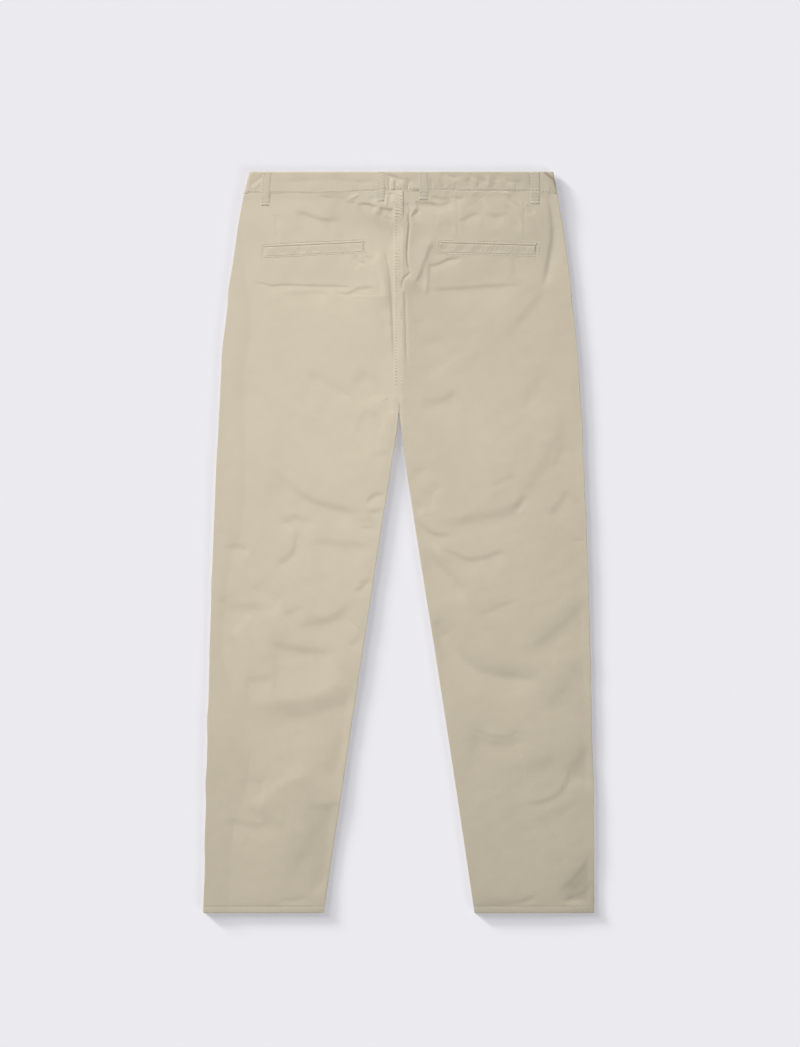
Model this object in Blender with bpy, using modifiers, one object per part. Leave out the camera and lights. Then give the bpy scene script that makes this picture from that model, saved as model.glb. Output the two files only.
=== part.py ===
"""Chino trousers laid flat with their back up.

The waist points along +Y, the wearer's left is at -X and +Z is up. The origin is at the middle of the
trousers' own rectangle, on the surface they lie on. Tables and sizes are in millimetres, and `down` is the
distance below the waistband's top edge. Meshes are in metres.
"""

import math
from collections import namedtuple
from functools import partial

import bmesh
import bpy
import numpy as np
from mathutils import Matrix, Vector
from mathutils.bvhtree import BVHTree

MM = 0.001

LENGTH = 1050.0
BAND_DEPTH = 31.0
CROTCH = 341.0
HEM_TURN = 9.2

CLOTH = 1.0
BAND_CLOTH = 1.5
BAND_SWELL = 0.25
SEAM_GAP = 0.3

# The lapped centre-back seam, and where above the crotch it thins out.
FELL_WIDTH = 11.4
FELL_RISE = 0.55
FELL_STEP = 0.9
FELL_FADE_START = 45.0
FELL_FADE = 40.0

FOLD_TOP = 4.6
CROWN = 1.3
WAIST_UNDER = 2.5
WAIST_TOP = 7.3
WAIST_RAMP = 85.0
BAND_TOP = 7.7

# The front's lap: its edge, how far the underlap reaches beyond it, and where that is pushed up.
LAP_EDGE = 3.0
UNDERLAP = 41.0
UNDERLAP_RISE = 1.8
LAP_RAMP = (5.0, 24.0)
LAP_DRIFT = (60.0, 5.0)

# The band's sections: over the front on the right and the left, round the folds and over the back.
BAND_RIGHT_X = (LAP_EDGE - UNDERLAP, -15.0, 5.0, 9.0, 14.0, 19.0, 24.0, 60.0, 110.0, 160.0)
BAND_LEFT_X = (-160.0, -110.0, -60.0, -20.0)
BAND_TURNS = (-90, -60, -30, 0, 30, 60, 90)
BAND_SHARE = 0.94
BAND_STATIONS = 25
BAND_SHARES = (0.0, 0.3, 0.7, 1.0)

# The cloth swells over these lengths below the waist seam and the crotch, and dips on the hem's stitches.
CROWN_RAMP = 60.0
HEM_GROOVE = 0.35
HEM_GROOVE_WIDTH = 2.2

# A panel's edge rolls through these angles, or lies flat with points this far in.
ROLL_ANGLES = (0.0, 32.0, 62.0)
FLAT_OFFSETS = (0.0, 0.9, 2.2)
ROLL_START = 18.0
EDGE_INSET = 4.5

# Distances between a panel's sections, and the sections close to the crotch and the hem's stitches.
BACK_STEP = 17.5
FRONT_STEP = 40.0
CROTCH_ROWS = (-14.0, -7.0, -2.5, 1.0, 6.0, 14.0)
HEM_ROWS = (-4.0, 0.0, 4.0)
# Columns close to the centre seam, as distances from it, and how many lie beyond them.
LEFT_COLUMNS = (11.2, 12.6, 20.0, 30.0)
RIGHT_COLUMNS = (5.5, 8.7, 12.5, 20.0)
FAR_COLUMNS = 14
COLUMN_RAMP = 80.0
FRONT_INSET = 5.0
FRONT_COLUMNS = 6
FACING_INSET = 2.6
FACING_COLUMNS = 4

# Half widths of the trousers at the side seams, on each side of the centre-back seam.
Width = namedtuple("Width", "down left right")
SIDE_LINE = (
    Width(0, 211.5, 218.7),
    Width(31, 219.3, 224.0),
    Width(75, 227.5, 231.3),
    Width(125, 235.0, 239.0),
    Width(190, 243.4, 246.0),
    Width(270, 251.4, 254.0),
    Width(340, 255.0, 258.4),
    Width(470, 261.3, 264.2),
    Width(600, 266.2, 268.8),
    Width(750, 270.4, 272.6),
    Width(900, 274.0, 275.9),
    Width(1050, 276.7, 276.8),
)
# Distance of each inside-leg seam from the centre line, below the crotch.
INSEAM = (
    Width(341, 0.2, 0.2),
    Width(360, 2.2, 2.6),
    Width(402, 8.7, 7.8),
    Width(508, 25.5, 23.6),
    Width(720, 57.6, 57.2),
    Width(933, 89.4, 89.6),
    Width(1050, 106.8, 106.8),
)

# Depth of the band at its lower seam, across the back.
Depth = namedtuple("Depth", "x depth")
BAND_SEAM = (
    Depth(-219, 31.0),
    Depth(-180, 31.2),
    Depth(-95, 31.0),
    Depth(-50, 28.4),
    Depth(-20, 27.0),
    Depth(0, 26.8),
    Depth(62, 26.6),
    Depth(100, 27.6),
    Depth(150, 28.0),
    Depth(192, 28.8),
    Depth(208, 31.0),
    Depth(224, 31.0),
)

# The largest folds: three points on each one's line as (x, down), its height (a trough is below zero) and
# the half width over which it falls away.
Fold = namedtuple("Fold", "start middle end height width")
SEAT_FOLDS = (
    Fold((14, 57), (11.5, 105), (15, 140), -1.9, 3.6),
    Fold((54, 84), (40, 118), (20, 162), 1.6, 9),
    Fold((16, 142), (7, 165), (10, 325), -1.3, 4.5),
    Fold((-26, 104), (-13, 158), (-7, 275), -1.4, 6),
    Fold((-40, 120), (-31, 160), (-22, 230), 1.0, 11),
    Fold((-104, 40), (-45, 45), (6, 68), 1.4, 8),
    Fold((-72, 66), (-35, 77), (-6, 97), -1.1, 11),
    Fold((211, 32), (218, 86), (203, 165), -1.3, 8),
    Fold((200, 178), (140, 240), (84, 298), -0.9, 16),
    Fold((-200, 160), (-120, 162), (-34, 166), -0.9, 8),
    Fold((40, 167), (100, 164), (175, 160), -0.9, 8),
    Fold((-142, 280), (-100, 297), (-64, 318), -1.1, 12),
)
LEFT_LEG_FOLDS = (
    Fold((-178, 418), (-118, 468), (-42, 483), -1.6, 9),
    Fold((-105, 484), (-62, 494), (-30, 498), 1.2, 10),
    Fold((-170, 505), (-144, 488), (-110, 500), -1.3, 8),
    Fold((-176, 562), (-151, 542), (-150, 508), -1.2, 8),
    Fold((-128, 524), (-80, 526), (-38, 531), -1.3, 9),
    Fold((-152, 647), (-104, 638), (-62, 611), -1.5, 10),
    Fold((-187, 669), (-137, 677), (-82, 678), -1.6, 10),
    Fold((-176, 693), (-130, 698), (-80, 694), 1.4, 13),
    Fold((-208, 768), (-125, 764), (-56, 718), -1.9, 12),
    Fold((-206, 914), (-162, 866), (-112, 850), 1.7, 16),
    Fold((-130, 862), (-98, 828), (-66, 782), -1.6, 12),
    Fold((-88, 884), (-122, 955), (-160, 1034), -2.0, 16),
)
RIGHT_LEG_FOLDS = (
    Fold((162, 464), (212, 400), (228, 336), -1.4, 11),
    Fold((48, 501), (122, 490), (186, 452), -1.5, 10),
    Fold((21, 489), (44, 510), (80, 516), -1.0, 7),
    Fold((56, 537), (102, 551), (160, 536), -1.4, 8),
    Fold((40, 538), (68, 563), (100, 604), -1.2, 8),
    Fold((176, 686), (226, 646), (272, 602), -1.8, 11),
    Fold((56, 612), (92, 700), (208, 722), -2.0, 14),
    Fold((86, 636), (120, 672), (186, 690), 1.9, 18),
    Fold((196, 770), (238, 722), (270, 684), -1.8, 11),
    Fold((94, 792), (152, 808), (210, 802), -1.7, 10),
    Fold((110, 818), (160, 828), (214, 822), 1.2, 12),
    Fold((138, 849), (190, 846), (224, 818), -1.3, 10),
    Fold((174, 897), (222, 886), (245, 844), -1.5, 8),
    Fold((236, 872), (254, 834), (275, 806), -1.6, 10),
    Fold((184, 928), (224, 910), (260, 880), -1.3, 10),
    Fold((222, 1034), (256, 1000), (280, 966), -1.8, 11),
)
FOLD_SAMPLES = 17
FOLD_TAPER = 3.5
EDGE_FADE = 16.0
WAIST_FADE = 14.0
HEM_FADE = 20.0

# The belt loops: x of the middle, width, how far each reaches down, and how far its lower end leans.
Loop = namedtuple("Loop", "name middle width reach lean")
BACK_LOOPS = (
    Loop("belt_loop_side_left", -186.4, 12.6, 49.0, -3.6),
    Loop("belt_loop_back_left", -25.9, 12.2, 42.5, 0.0),
    Loop("belt_loop_back_right", 34.8, 12.7, 40.5, 0.0),
    Loop("belt_loop_side_right", 192.8, 13.0, 47.0, 0.0),
)
FRONT_LOOPS = (
    Loop("belt_loop_front_left", -112.0, 13.0, 46.0, 0.0),
    Loop("belt_loop_front_right", 116.0, 13.0, 46.0, 0.0),
)
LOOP_CLOTH = 1.1
LOOP_STAND = 0.8
LOOP_START = 0.4
LOOP_TACK = 0.84
LOOP_SHARES = (0.0, 0.06, 0.16, 0.35, 0.55, 0.72, 0.84, 0.94, 1.0)
# Across a loop: shares of its half width, and how far each point is below its face.
LOOP_SECTION = ((-1.0, 0.25), (-0.8, 0.0), (0.8, 0.0), (1.0, 0.25))

# The back pocket welts: each one's outer and inner end on the pocket's mouth.
Welt = namedtuple("Welt", "name panel outer_x outer_down inner_x inner_down")
WELTS = (
    Welt("welt_left", "back_left", -192.8, 106.9, -50.6, 99.8),
    Welt("welt_right", "back_right", 195.4, 104.7, 57.6, 100.9),
)
WELT_DEPTH = 13.2
WELT_CLOTH = 1.1
WELT_SECTIONS = 15
# Down a welt: shares of its depth, and of its thickness there.
WELT_SECTION = ((0.0, 0.85), (0.12, 1.0), (0.5, 1.0), (0.88, 0.9), (1.0, 0.7))

# The slanted front pockets: how far in the mouth starts, where it and its facing end, and their sections.
POCKET_TOP_INSET = 52.0
POCKET_MOUTH_END = 192.0
FACING_END = 178.0
MOUTH_ROWS = (50.0, 64.0, 90.0, 104.0)
FACING_ROWS = (50.0, 64.0, 78.0, 92.0, 106.0, 120.0, 150.0)
CORNER_ROWS = (SEAM_GAP, 3.0, 14.0)
CORNER_CLEAR = 15.0

BUTTON_RADIUS = 8.5
BUTTON_THICK = 2.2
BUTTON_BEVEL = 0.6
BUTTON_RIM = 2.1
BUTTON_DISH = 0.5
BUTTON_X = -12.0
HOLE_RADIUS = 0.9
HOLE_CIRCLE = 2.3

CLOTH_COLOUR = (0.56, 0.50, 0.38, 1.0)
BAND_COLOUR = (0.53, 0.47, 0.36, 1.0)
TRIM_COLOUR = (0.50, 0.44, 0.33, 1.0)
BUTTON_COLOUR = (0.26, 0.19, 0.12, 1.0)


def ease(value):
    """A smooth step from 0 to 1 as the value goes from 0 to 1."""
    value = np.clip(value, 0.0, 1.0)
    return value * value * (3.0 - 2.0 * value)


def along(line, column, at):
    """A column of a table at a value of its first column, on a smooth curve through its rows."""
    places = np.array([row[0] for row in line], float)
    values = np.array([getattr(row, column) for row in line], float)
    slopes = np.gradient(values, places)
    at = np.clip(at, places[0], places[-1])
    i = np.clip(np.searchsorted(places, at, side="right") - 1, 0, len(places) - 2)
    step = places[i + 1] - places[i]
    t = (at - places[i]) / step
    start = (1 + 2 * t) * (1 - t) ** 2 * values[i] + t * (1 - t) ** 2 * slopes[i] * step
    end = t * t * (3 - 2 * t) * values[i + 1] - t * t * (1 - t) * slopes[i + 1] * step
    return start + end


def side_x(side, down):
    """x of the side fold, on the left (-1) or the right (1)."""
    return side * along(SIDE_LINE, "left" if side < 0 else "right", down)


def inseam_x(side, down):
    """x of the inside-leg seam, below the crotch."""
    return side * along(INSEAM, "left" if side < 0 else "right", down)


def band_seam(x):
    """Depth of the band over the back."""
    return along(BAND_SEAM, "depth", x)


def waist_lift(down):
    """1 at the waist seam, falling to 0 where the trousers lie flat."""
    return 1.0 - ease((down - BAND_DEPTH) / WAIST_RAMP)


def under_z(down):
    """Height of the lower face."""
    return WAIST_UNDER * waist_lift(down)


def over_z(down):
    """Height of the upper face beside a fold edge."""
    return FOLD_TOP + (WAIST_TOP - FOLD_TOP) * waist_lift(down)


def felled(down):
    """1 where the centre-back seam is lapped, falling to 0 at the crotch."""
    return 1.0 - ease((down - CROTCH + FELL_FADE_START) / FELL_FADE)


def centre_x(side, down):
    """x of a back panel's edge at the centre-back seam, which the left panel laps."""
    return FELL_WIDTH / 2 * felled(down) + side * SEAM_GAP / 2


def underlap_lift(x):
    """How far the lap over it pushes the right front up, or lifts its end of the band."""
    return UNDERLAP_RISE * ease((LAP_RAMP[1] - x) / (LAP_RAMP[1] - LAP_RAMP[0]))


def fold_height(fold, x, down):
    """A fold's share of the height at the given places."""
    start, middle, end = (np.array(point, float) for point in fold[:3])
    pull = 2.0 * middle - (start + end) / 2.0
    t = np.linspace(0.0, 1.0, FOLD_SAMPLES)[:, None]
    line = (1 - t) ** 2 * start + 2 * t * (1 - t) * pull + t * t * end
    best = np.full(np.shape(x), np.inf)
    share = np.zeros(np.shape(x))
    for i in range(FOLD_SAMPLES - 1):
        run = line[i + 1] - line[i]
        s = ((x - line[i][0]) * run[0] + (down - line[i][1]) * run[1]) / run.dot(run)
        s = np.clip(s, 0.0, 1.0)
        away = np.hypot(x - line[i][0] - s * run[0], down - line[i][1] - s * run[1])
        share = np.where(away < best, (i + s) / (FOLD_SAMPLES - 1), share)
        best = np.minimum(away, best)
    taper = ease(FOLD_TAPER * np.minimum(share, 1.0 - share))
    return fold.height * taper * np.exp(-((best / fold.width) ** 2))


def back_z(side, x, down):
    """Height of a back panel's outer face."""
    outer = side_x(side, down)
    inner = np.where(down > CROTCH, inseam_x(side, down), 0.0)
    share = np.clip((x - inner) / (outer - inner), 0.0, 1.0)
    full = ease((down - CROTCH) / CROWN_RAMP)
    crown = CROWN * ((1 - full) * (1 - share ** 4) + full * (4 * share * (1 - share)) ** 0.7)
    folds = sum(fold_height(fold, x, down) for fold in SEAT_FOLDS)
    leg = LEFT_LEG_FOLDS if side < 0 else RIGHT_LEG_FOLDS
    folds = folds + sum(fold_height(fold, x, down) for fold in leg)
    to_inner = np.where(down > CROTCH - ROLL_START, np.abs(x - inner), EDGE_FADE)
    fade = ease(np.minimum(np.abs(outer - x), to_inner) / EDGE_FADE)
    fade = fade * ease((down - BAND_DEPTH) / WAIST_FADE) * ease((LENGTH - HEM_TURN - down) / HEM_FADE)
    crown = crown * ease((down - BAND_DEPTH) / CROWN_RAMP)
    hem = -HEM_GROOVE * np.exp(-(((LENGTH - HEM_TURN - down) / HEM_GROOVE_WIDTH) ** 2))
    fell = 0.0
    if side < 0:
        fell = FELL_RISE * felled(down) * ease((x + FELL_WIDTH / 2 + FELL_STEP) / FELL_STEP)
    return over_z(down) + crown + folds * fade + hem + fell


def front_z(side, x, down):
    """Height of a front panel's outer face, which is the lower one."""
    lapped = underlap_lift(x) if side > 0 else 0.0 * x
    return under_z(down) + lapped * waist_lift(down) ** 2


def panel_section(down, inner, outer, rolls, columns, face, height):
    """A panel's section at one distance below the waist.

    It runs from the inner to the outer edge as rows of x, z and the outward direction. Each edge rolls over
    by a quarter turn to its seam at the fold's mid height where its `rolls` is 1, and lies flat where it
    is 0. `columns` are the places between the two, as x.
    """
    middle = (under_z(down) + over_z(down)) / 2
    radius = (over_z(down) - under_z(down)) / 2
    way = math.copysign(1.0, outer - inner)
    points = []

    def edge(at, inwards, roll):
        found = []
        for angle, offset in zip(ROLL_ANGLES, FLAT_OFFSETS):
            turn = math.radians(angle)
            round_x = at + inwards * radius * (1 - math.cos(turn))
            round_z = middle + face * max(radius * math.sin(turn), SEAM_GAP / 2)
            x = roll * round_x + (1 - roll) * (at + inwards * offset)
            z = roll * round_z + (1 - roll) * float(height(x, down))
            across = -inwards * math.cos(turn) * roll
            up = face * (roll * math.sin(turn) + (1 - roll))
            length = math.hypot(across, up)
            found.append((x, z, across / length, up / length))
        return found

    points += edge(inner, way, rolls[0])
    for x in columns:
        slope = float(height(x + 0.5, down) - height(x - 0.5, down))
        length = math.hypot(slope, 1.0)
        points.append((x, float(height(x, down)), -face * slope / length, face / length))
    points += reversed(edge(outer, -way, rolls[1]))
    return points


def wall_ring(section, down, thick, shift=0.0):
    """The closed outline of a wall: the section's outer points, then its inner ones back again.

    `shift` moves its points along the cloth, and is one for all or one for each point.
    """
    y = LENGTH / 2 - down - np.broadcast_to(shift, len(section))
    outside = [Vector((x, at, z)) for at, (x, z, across, up) in zip(y, section)]
    inside = [Vector((x - across * thick, at, z - up * thick)) for at, (x, z, across, up) in zip(y, section)]
    return outside + inside[::-1]


def new_part(name, mesh, collection, colour, roughness=0.85, metallic=0.0):
    """An object for a sub-part, with its own material and smooth faces between sharp edges."""
    part = bpy.data.objects.new(name, mesh)
    collection.objects.link(part)
    material = bpy.data.materials.new(name)
    material.use_nodes = True
    shader = material.node_tree.nodes["Principled BSDF"]
    shader.inputs["Base Color"].default_value = colour
    shader.inputs["Roughness"].default_value = roughness
    shader.inputs["Metallic"].default_value = metallic
    mesh.materials.append(material)
    mesh.shade_smooth()
    mesh.set_sharp_from_angle(angle=math.radians(35))
    return part


def loft(name, rings):
    """A closed wall through rings of equal counts, each an outside run followed by an inside run."""
    shape = bmesh.new()
    rows = [[shape.verts.new(point * MM) for point in ring] for ring in rings]
    count = len(rows[0])
    for one, two in zip(rows, rows[1:]):
        for i in range(count):
            j = (i + 1) % count
            shape.faces.new((one[i], one[j], two[j], two[i]))
    for row in (rows[0], rows[-1]):
        for i in range(count // 2 - 1):
            shape.faces.new((row[i], row[i + 1], row[count - 2 - i], row[count - 1 - i]))
    bmesh.ops.recalc_face_normals(shape, faces=shape.faces)
    mesh = bpy.data.meshes.new(name)
    shape.to_mesh(mesh)
    shape.free()
    return mesh


def spaced(start, end, most):
    """Even steps from start to end, none longer than `most`."""
    return np.linspace(start, end, max(2, math.ceil(abs(end - start) / most) + 1))


def rows_down(step):
    """The distances below the waist at which a panel has a section."""
    top = BAND_DEPTH + SEAM_GAP
    crotch = CROTCH + np.array(CROTCH_ROWS)
    hem = LENGTH - HEM_TURN + np.array(HEM_ROWS)
    return np.concatenate([
        spaced(top, crotch[0], step)[:-1], crotch, spaced(crotch[-1], hem[0], step)[1:-1], hem, [LENGTH],
    ])


def inner_line(side, down, centre):
    """A panel's inner edge: the centre seam, then the inside-leg seam, and how far it rolls."""
    roll = float(ease((down - CROTCH + ROLL_START) / ROLL_START))
    if down <= CROTCH:
        return centre, roll
    return float(inseam_x(side, down)), roll


def back_panel(side):
    """Sections of a back panel, from the waist seam to the hem."""
    near = np.array(LEFT_COLUMNS if side < 0 else RIGHT_COLUMNS)
    rings = []
    for i, down in enumerate(rows_down(BACK_STEP)):
        inner, roll = inner_line(side, down, float(centre_x(side, down)))
        outer = float(side_x(side, down))
        first = inner + side * near * (1.0 + float(ease((down - CROTCH) / COLUMN_RAMP)))
        last = outer - side * EDGE_INSET
        columns = [*first, *np.linspace(first[-1], last, FAR_COLUMNS)[1:]]
        section = panel_section(down, inner, outer, (roll, 1.0), columns, 1, partial(back_z, side))
        to_seam = band_seam(np.array([point[0] for point in section])) - BAND_DEPTH
        rings.append(wall_ring(section, down, CLOTH, to_seam if i == 0 else 0.0))
    return rings


def pocket_mouth(side, down):
    """x of the slanted front pocket mouth, which ends close to the side fold."""
    share = (down - BAND_DEPTH) / (POCKET_MOUTH_END - BAND_DEPTH)
    top = abs(float(side_x(side, BAND_DEPTH))) - POCKET_TOP_INSET
    end = abs(float(side_x(side, POCKET_MOUTH_END))) - SEAM_GAP
    return side * (top + (end - top) * share)


def front_panel(side):
    """Sections of a front panel. Its top corner is cut away on the slant of the pocket mouth."""
    rings = []
    corner = FACING_END + np.array(CORNER_ROWS)
    clear = (corner[0] - CORNER_CLEAR, corner[-1] + CORNER_CLEAR)
    rows = [down for down in rows_down(FRONT_STEP) if not clear[0] < down < clear[1]]
    for down in sorted([*rows, *MOUTH_ROWS, *corner]):
        inner, roll = inner_line(side, down, LAP_EDGE + side * SEAM_GAP / 2)
        if CROTCH - LAP_DRIFT[0] < down <= CROTCH:
            drift = float(ease((down - CROTCH + LAP_DRIFT[0]) / (LAP_DRIFT[0] - LAP_DRIFT[1])))
            inner = (1 - drift) * inner + drift * side * SEAM_GAP / 2
        beside_mouth = down <= corner[0]
        outer = pocket_mouth(side, down) if beside_mouth else float(side_x(side, down))
        turned = 0.0 if beside_mouth else 1.0
        columns = np.linspace(inner + side * FRONT_INSET, outer - side * FRONT_INSET, FRONT_COLUMNS)
        section = panel_section(down, inner, outer, (roll, turned), columns, -1, partial(front_z, side))
        rings.append(wall_ring(section, down, CLOTH))
    return rings


def pocket_facing(side):
    """The cloth behind a front pocket mouth, from the mouth to the side seam."""
    rings = []
    for down in (BAND_DEPTH + SEAM_GAP, *FACING_ROWS, FACING_END):
        inner = pocket_mouth(side, down) + side * SEAM_GAP
        outer = float(side_x(side, down))
        columns = np.linspace(inner + side * FACING_INSET, outer - side * FACING_INSET, FACING_COLUMNS)
        section = panel_section(down, inner, outer, (0.0, 1.0), columns, -1, partial(front_z, side))
        rings.append(wall_ring(section, down, CLOTH))
    return rings


def band_route():
    """The band's way round the waist, from its underlap to its lap over the front.

    Each place has its side, what its value is (x, an inset at the fold, or a share of the half width over
    the back), z, and the outward direction.
    """
    radius = (BAND_TOP - WAIST_UNDER) / 2
    turns = [math.radians(angle) for angle in BAND_TURNS]
    route = [(1, "x", x, WAIST_UNDER + float(underlap_lift(x)), 0.0, -1.0) for x in BAND_RIGHT_X]
    for side in (1, -1):
        for turn in turns if side > 0 else turns[::-1]:
            inset = radius * (1 - math.cos(turn))
            z = WAIST_UNDER + radius * (1 + math.sin(turn))
            route.append((side, "inset", inset, z, side * math.cos(turn), math.sin(turn)))
        if side > 0:
            for share in np.linspace(BAND_SHARE, -BAND_SHARE, BAND_STATIONS):
                route.append((1 if share >= 0 else -1, "share", abs(share), BAND_TOP, 0.0, 1.0))
    route += [(-1, "x", x, WAIST_UNDER, 0.0, -1.0) for x in (*BAND_LEFT_X, LAP_EDGE - SEAM_GAP / 2)]
    return route


def waistband():
    """One doubled strip round the waist. Its section is swept round the flattened ring."""
    rings = []
    for side, kind, value, z, across, up in band_route():
        depth = BAND_DEPTH
        if kind == "share":
            depth = float(band_seam(side * abs(float(side_x(side, BAND_DEPTH))) * value))
        outside, inside = [], []
        for share in BAND_SHARES:
            down = share * depth
            edge = abs(float(side_x(side, down)))
            x = {"x": value, "inset": side * (edge - value), "share": side * edge * value}[kind]
            swell = BAND_SWELL * math.sin(math.pi * share) if kind == "share" else 0.0
            y = LENGTH / 2 - down
            outside.append(Vector((x, y, z + swell)))
            inside.append(Vector((x - across * BAND_CLOTH, y, z - up * BAND_CLOTH)))
        rings.append(outside + inside[::-1])
    return rings


def laid_height(tree, x, down, face):
    """Height of the cloth under a place, met from outside."""
    origin = Vector((x * MM, (LENGTH / 2 - down) * MM, face * 0.1))
    hit = tree.ray_cast(origin, Vector((0, 0, -face)))
    return hit[0].z / MM if hit[0] else None


def belt_loop(loop, trees, face):
    """A strip from the band's top edge, standing off the band, to a tack on the panel below it."""
    rings = []
    for share in LOOP_SHARES:
        down = LOOP_START + share * (loop.reach - LOOP_START)
        middle = loop.middle + loop.lean * share
        stand = LOOP_STAND * math.sin(math.pi * min(share / LOOP_TACK, 1.0)) ** 0.6
        rests = []
        for across in np.linspace(-0.5, 0.5, 5) * loop.width:
            for step in (-3.0, -1.0, 1.0, 3.0):
                at = max(down + step, LOOP_START + 0.2)
                found = [laid_height(tree, middle + across, at, face) for tree in trees]
                rests += [z for z in found if z is not None]
        rest = max(rests) if face > 0 else min(rests)
        low = rest + face * (SEAM_GAP + stand)
        high = low + face * LOOP_CLOTH
        half = loop.width / 2
        y = LENGTH / 2 - down
        outside = [Vector((middle + a * half, y, high - face * fall)) for a, fall in LOOP_SECTION]
        inside = [Vector((middle + a * half, y, low)) for a, fall in LOOP_SECTION]
        rings.append(outside + inside[::-1])
    return rings


def pocket_welt(welt, tree):
    """A folded strip on the back panel. Its upper edge is the pocket's mouth."""
    rings = []
    for share in np.linspace(0.0, 1.0, WELT_SECTIONS):
        x = welt.outer_x + share * (welt.inner_x - welt.outer_x)
        top = welt.outer_down + share * (welt.inner_down - welt.outer_down)
        outside, inside = [], []
        for part, rise in WELT_SECTION:
            down = top + part * WELT_DEPTH
            rest = laid_height(tree, x, down, 1) + SEAM_GAP
            y = LENGTH / 2 - down
            outside.append(Vector((x, y, rest + WELT_CLOTH * rise)))
            inside.append(Vector((x, y, rest)))
        rings.append(outside + inside[::-1])
    return rings


def waist_button(collection, cutters):
    """A turned button on the lap of the band, its dished face down, with four thread holes."""
    profile = (
        (0.0, BUTTON_THICK),
        (BUTTON_RADIUS - BUTTON_BEVEL, BUTTON_THICK),
        (BUTTON_RADIUS, BUTTON_THICK - BUTTON_BEVEL),
        (BUTTON_RADIUS, BUTTON_BEVEL),
        (BUTTON_RADIUS - BUTTON_BEVEL, 0.0),
        (BUTTON_RADIUS - BUTTON_RIM, 0.0),
        (BUTTON_RADIUS - BUTTON_RIM - BUTTON_DISH, BUTTON_DISH),
        (0.0, BUTTON_DISH),
    )
    mesh = bpy.data.meshes.new("waist_button")
    points = [(radius * MM, 0, z * MM) for radius, z in profile]
    mesh.from_pydata(points, [(i, i + 1) for i in range(len(points) - 1)], [])
    button = new_part("waist_button", mesh, collection, BUTTON_COLOUR, 0.35)
    turn = button.modifiers.new("Turn", "SCREW")
    turn.steps = turn.render_steps = 28
    turn.use_merge_vertices = True
    turn.merge_threshold = 0.00002

    holes = bmesh.new()
    for i in range(4):
        angle = math.pi / 4 + i * math.pi / 2
        place = Vector((math.cos(angle), math.sin(angle), 0)) * HOLE_CIRCLE * MM
        place.z = BUTTON_THICK / 2 * MM
        bmesh.ops.create_cone(
            holes, cap_ends=True, segments=10, radius1=HOLE_RADIUS * MM, radius2=HOLE_RADIUS * MM,
            depth=4 * BUTTON_THICK * MM, matrix=Matrix.Translation(place),
        )
    cutter_mesh = bpy.data.meshes.new("button_holes")
    holes.to_mesh(cutter_mesh)
    holes.free()
    cutter = bpy.data.objects.new("button_holes", cutter_mesh)
    cutter.hide_render = True
    cutter.display_type = "WIRE"
    cutters.objects.link(cutter)
    cut = button.modifiers.new("Holes", "BOOLEAN")
    cut.operation = "DIFFERENCE"
    cut.object = cutter

    for piece in (button, cutter):
        piece.location = (BUTTON_X * MM, (LENGTH / 2 - BAND_DEPTH / 2) * MM, 0)
    return button


def tree_of(part):
    """A search tree of a sub-part's faces, for laid_height."""
    shape = bmesh.new()
    shape.from_mesh(part.data)
    tree = BVHTree.FromBMesh(shape)
    shape.free()
    return tree


def main():
    """Builds every sub-part, the panels first, then what lies on them."""
    for leftover in list(bpy.data.objects):
        bpy.data.objects.remove(leftover)
    trousers = bpy.data.collections.new("chino_trousers")
    cutters = bpy.data.collections.new("cutters")
    for collection in (trousers, cutters):
        bpy.context.scene.collection.children.link(collection)

    parts = {}
    for side, word in ((-1, "left"), (1, "right")):
        for stem, rings in (
            ("back_", back_panel(side)),
            ("front_", front_panel(side)),
            ("pocket_facing_", pocket_facing(side)),
        ):
            name = stem + word
            parts[name] = new_part(name, loft(name, rings), trousers, CLOTH_COLOUR)
    parts["waistband"] = new_part("waistband", loft("waistband", waistband()), trousers, BAND_COLOUR)

    trees = {name: tree_of(part) for name, part in parts.items()}
    for loops, face, panels in ((BACK_LOOPS, 1, "back_"), (FRONT_LOOPS, -1, "front_")):
        for loop in loops:
            under = (trees["waistband"], trees[panels + "left"], trees[panels + "right"])
            new_part(loop.name, loft(loop.name, belt_loop(loop, under, face)), trousers, TRIM_COLOUR)
    for welt in WELTS:
        rings = pocket_welt(welt, trees[welt.panel])
        new_part(welt.name, loft(welt.name, rings), trousers, TRIM_COLOUR)
    waist_button(trousers, cutters)


main()
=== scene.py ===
"""Chino trousers laid flat with their back up: fine cloth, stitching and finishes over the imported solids.

The waist points along +Y, the wearer's left is at -X and +Z is up. Tables and sizes are in millimetres, and
`down` is the distance below the waistband's top edge. Meshes are in metres.
"""

import math
from collections import namedtuple
from functools import partial

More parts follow.
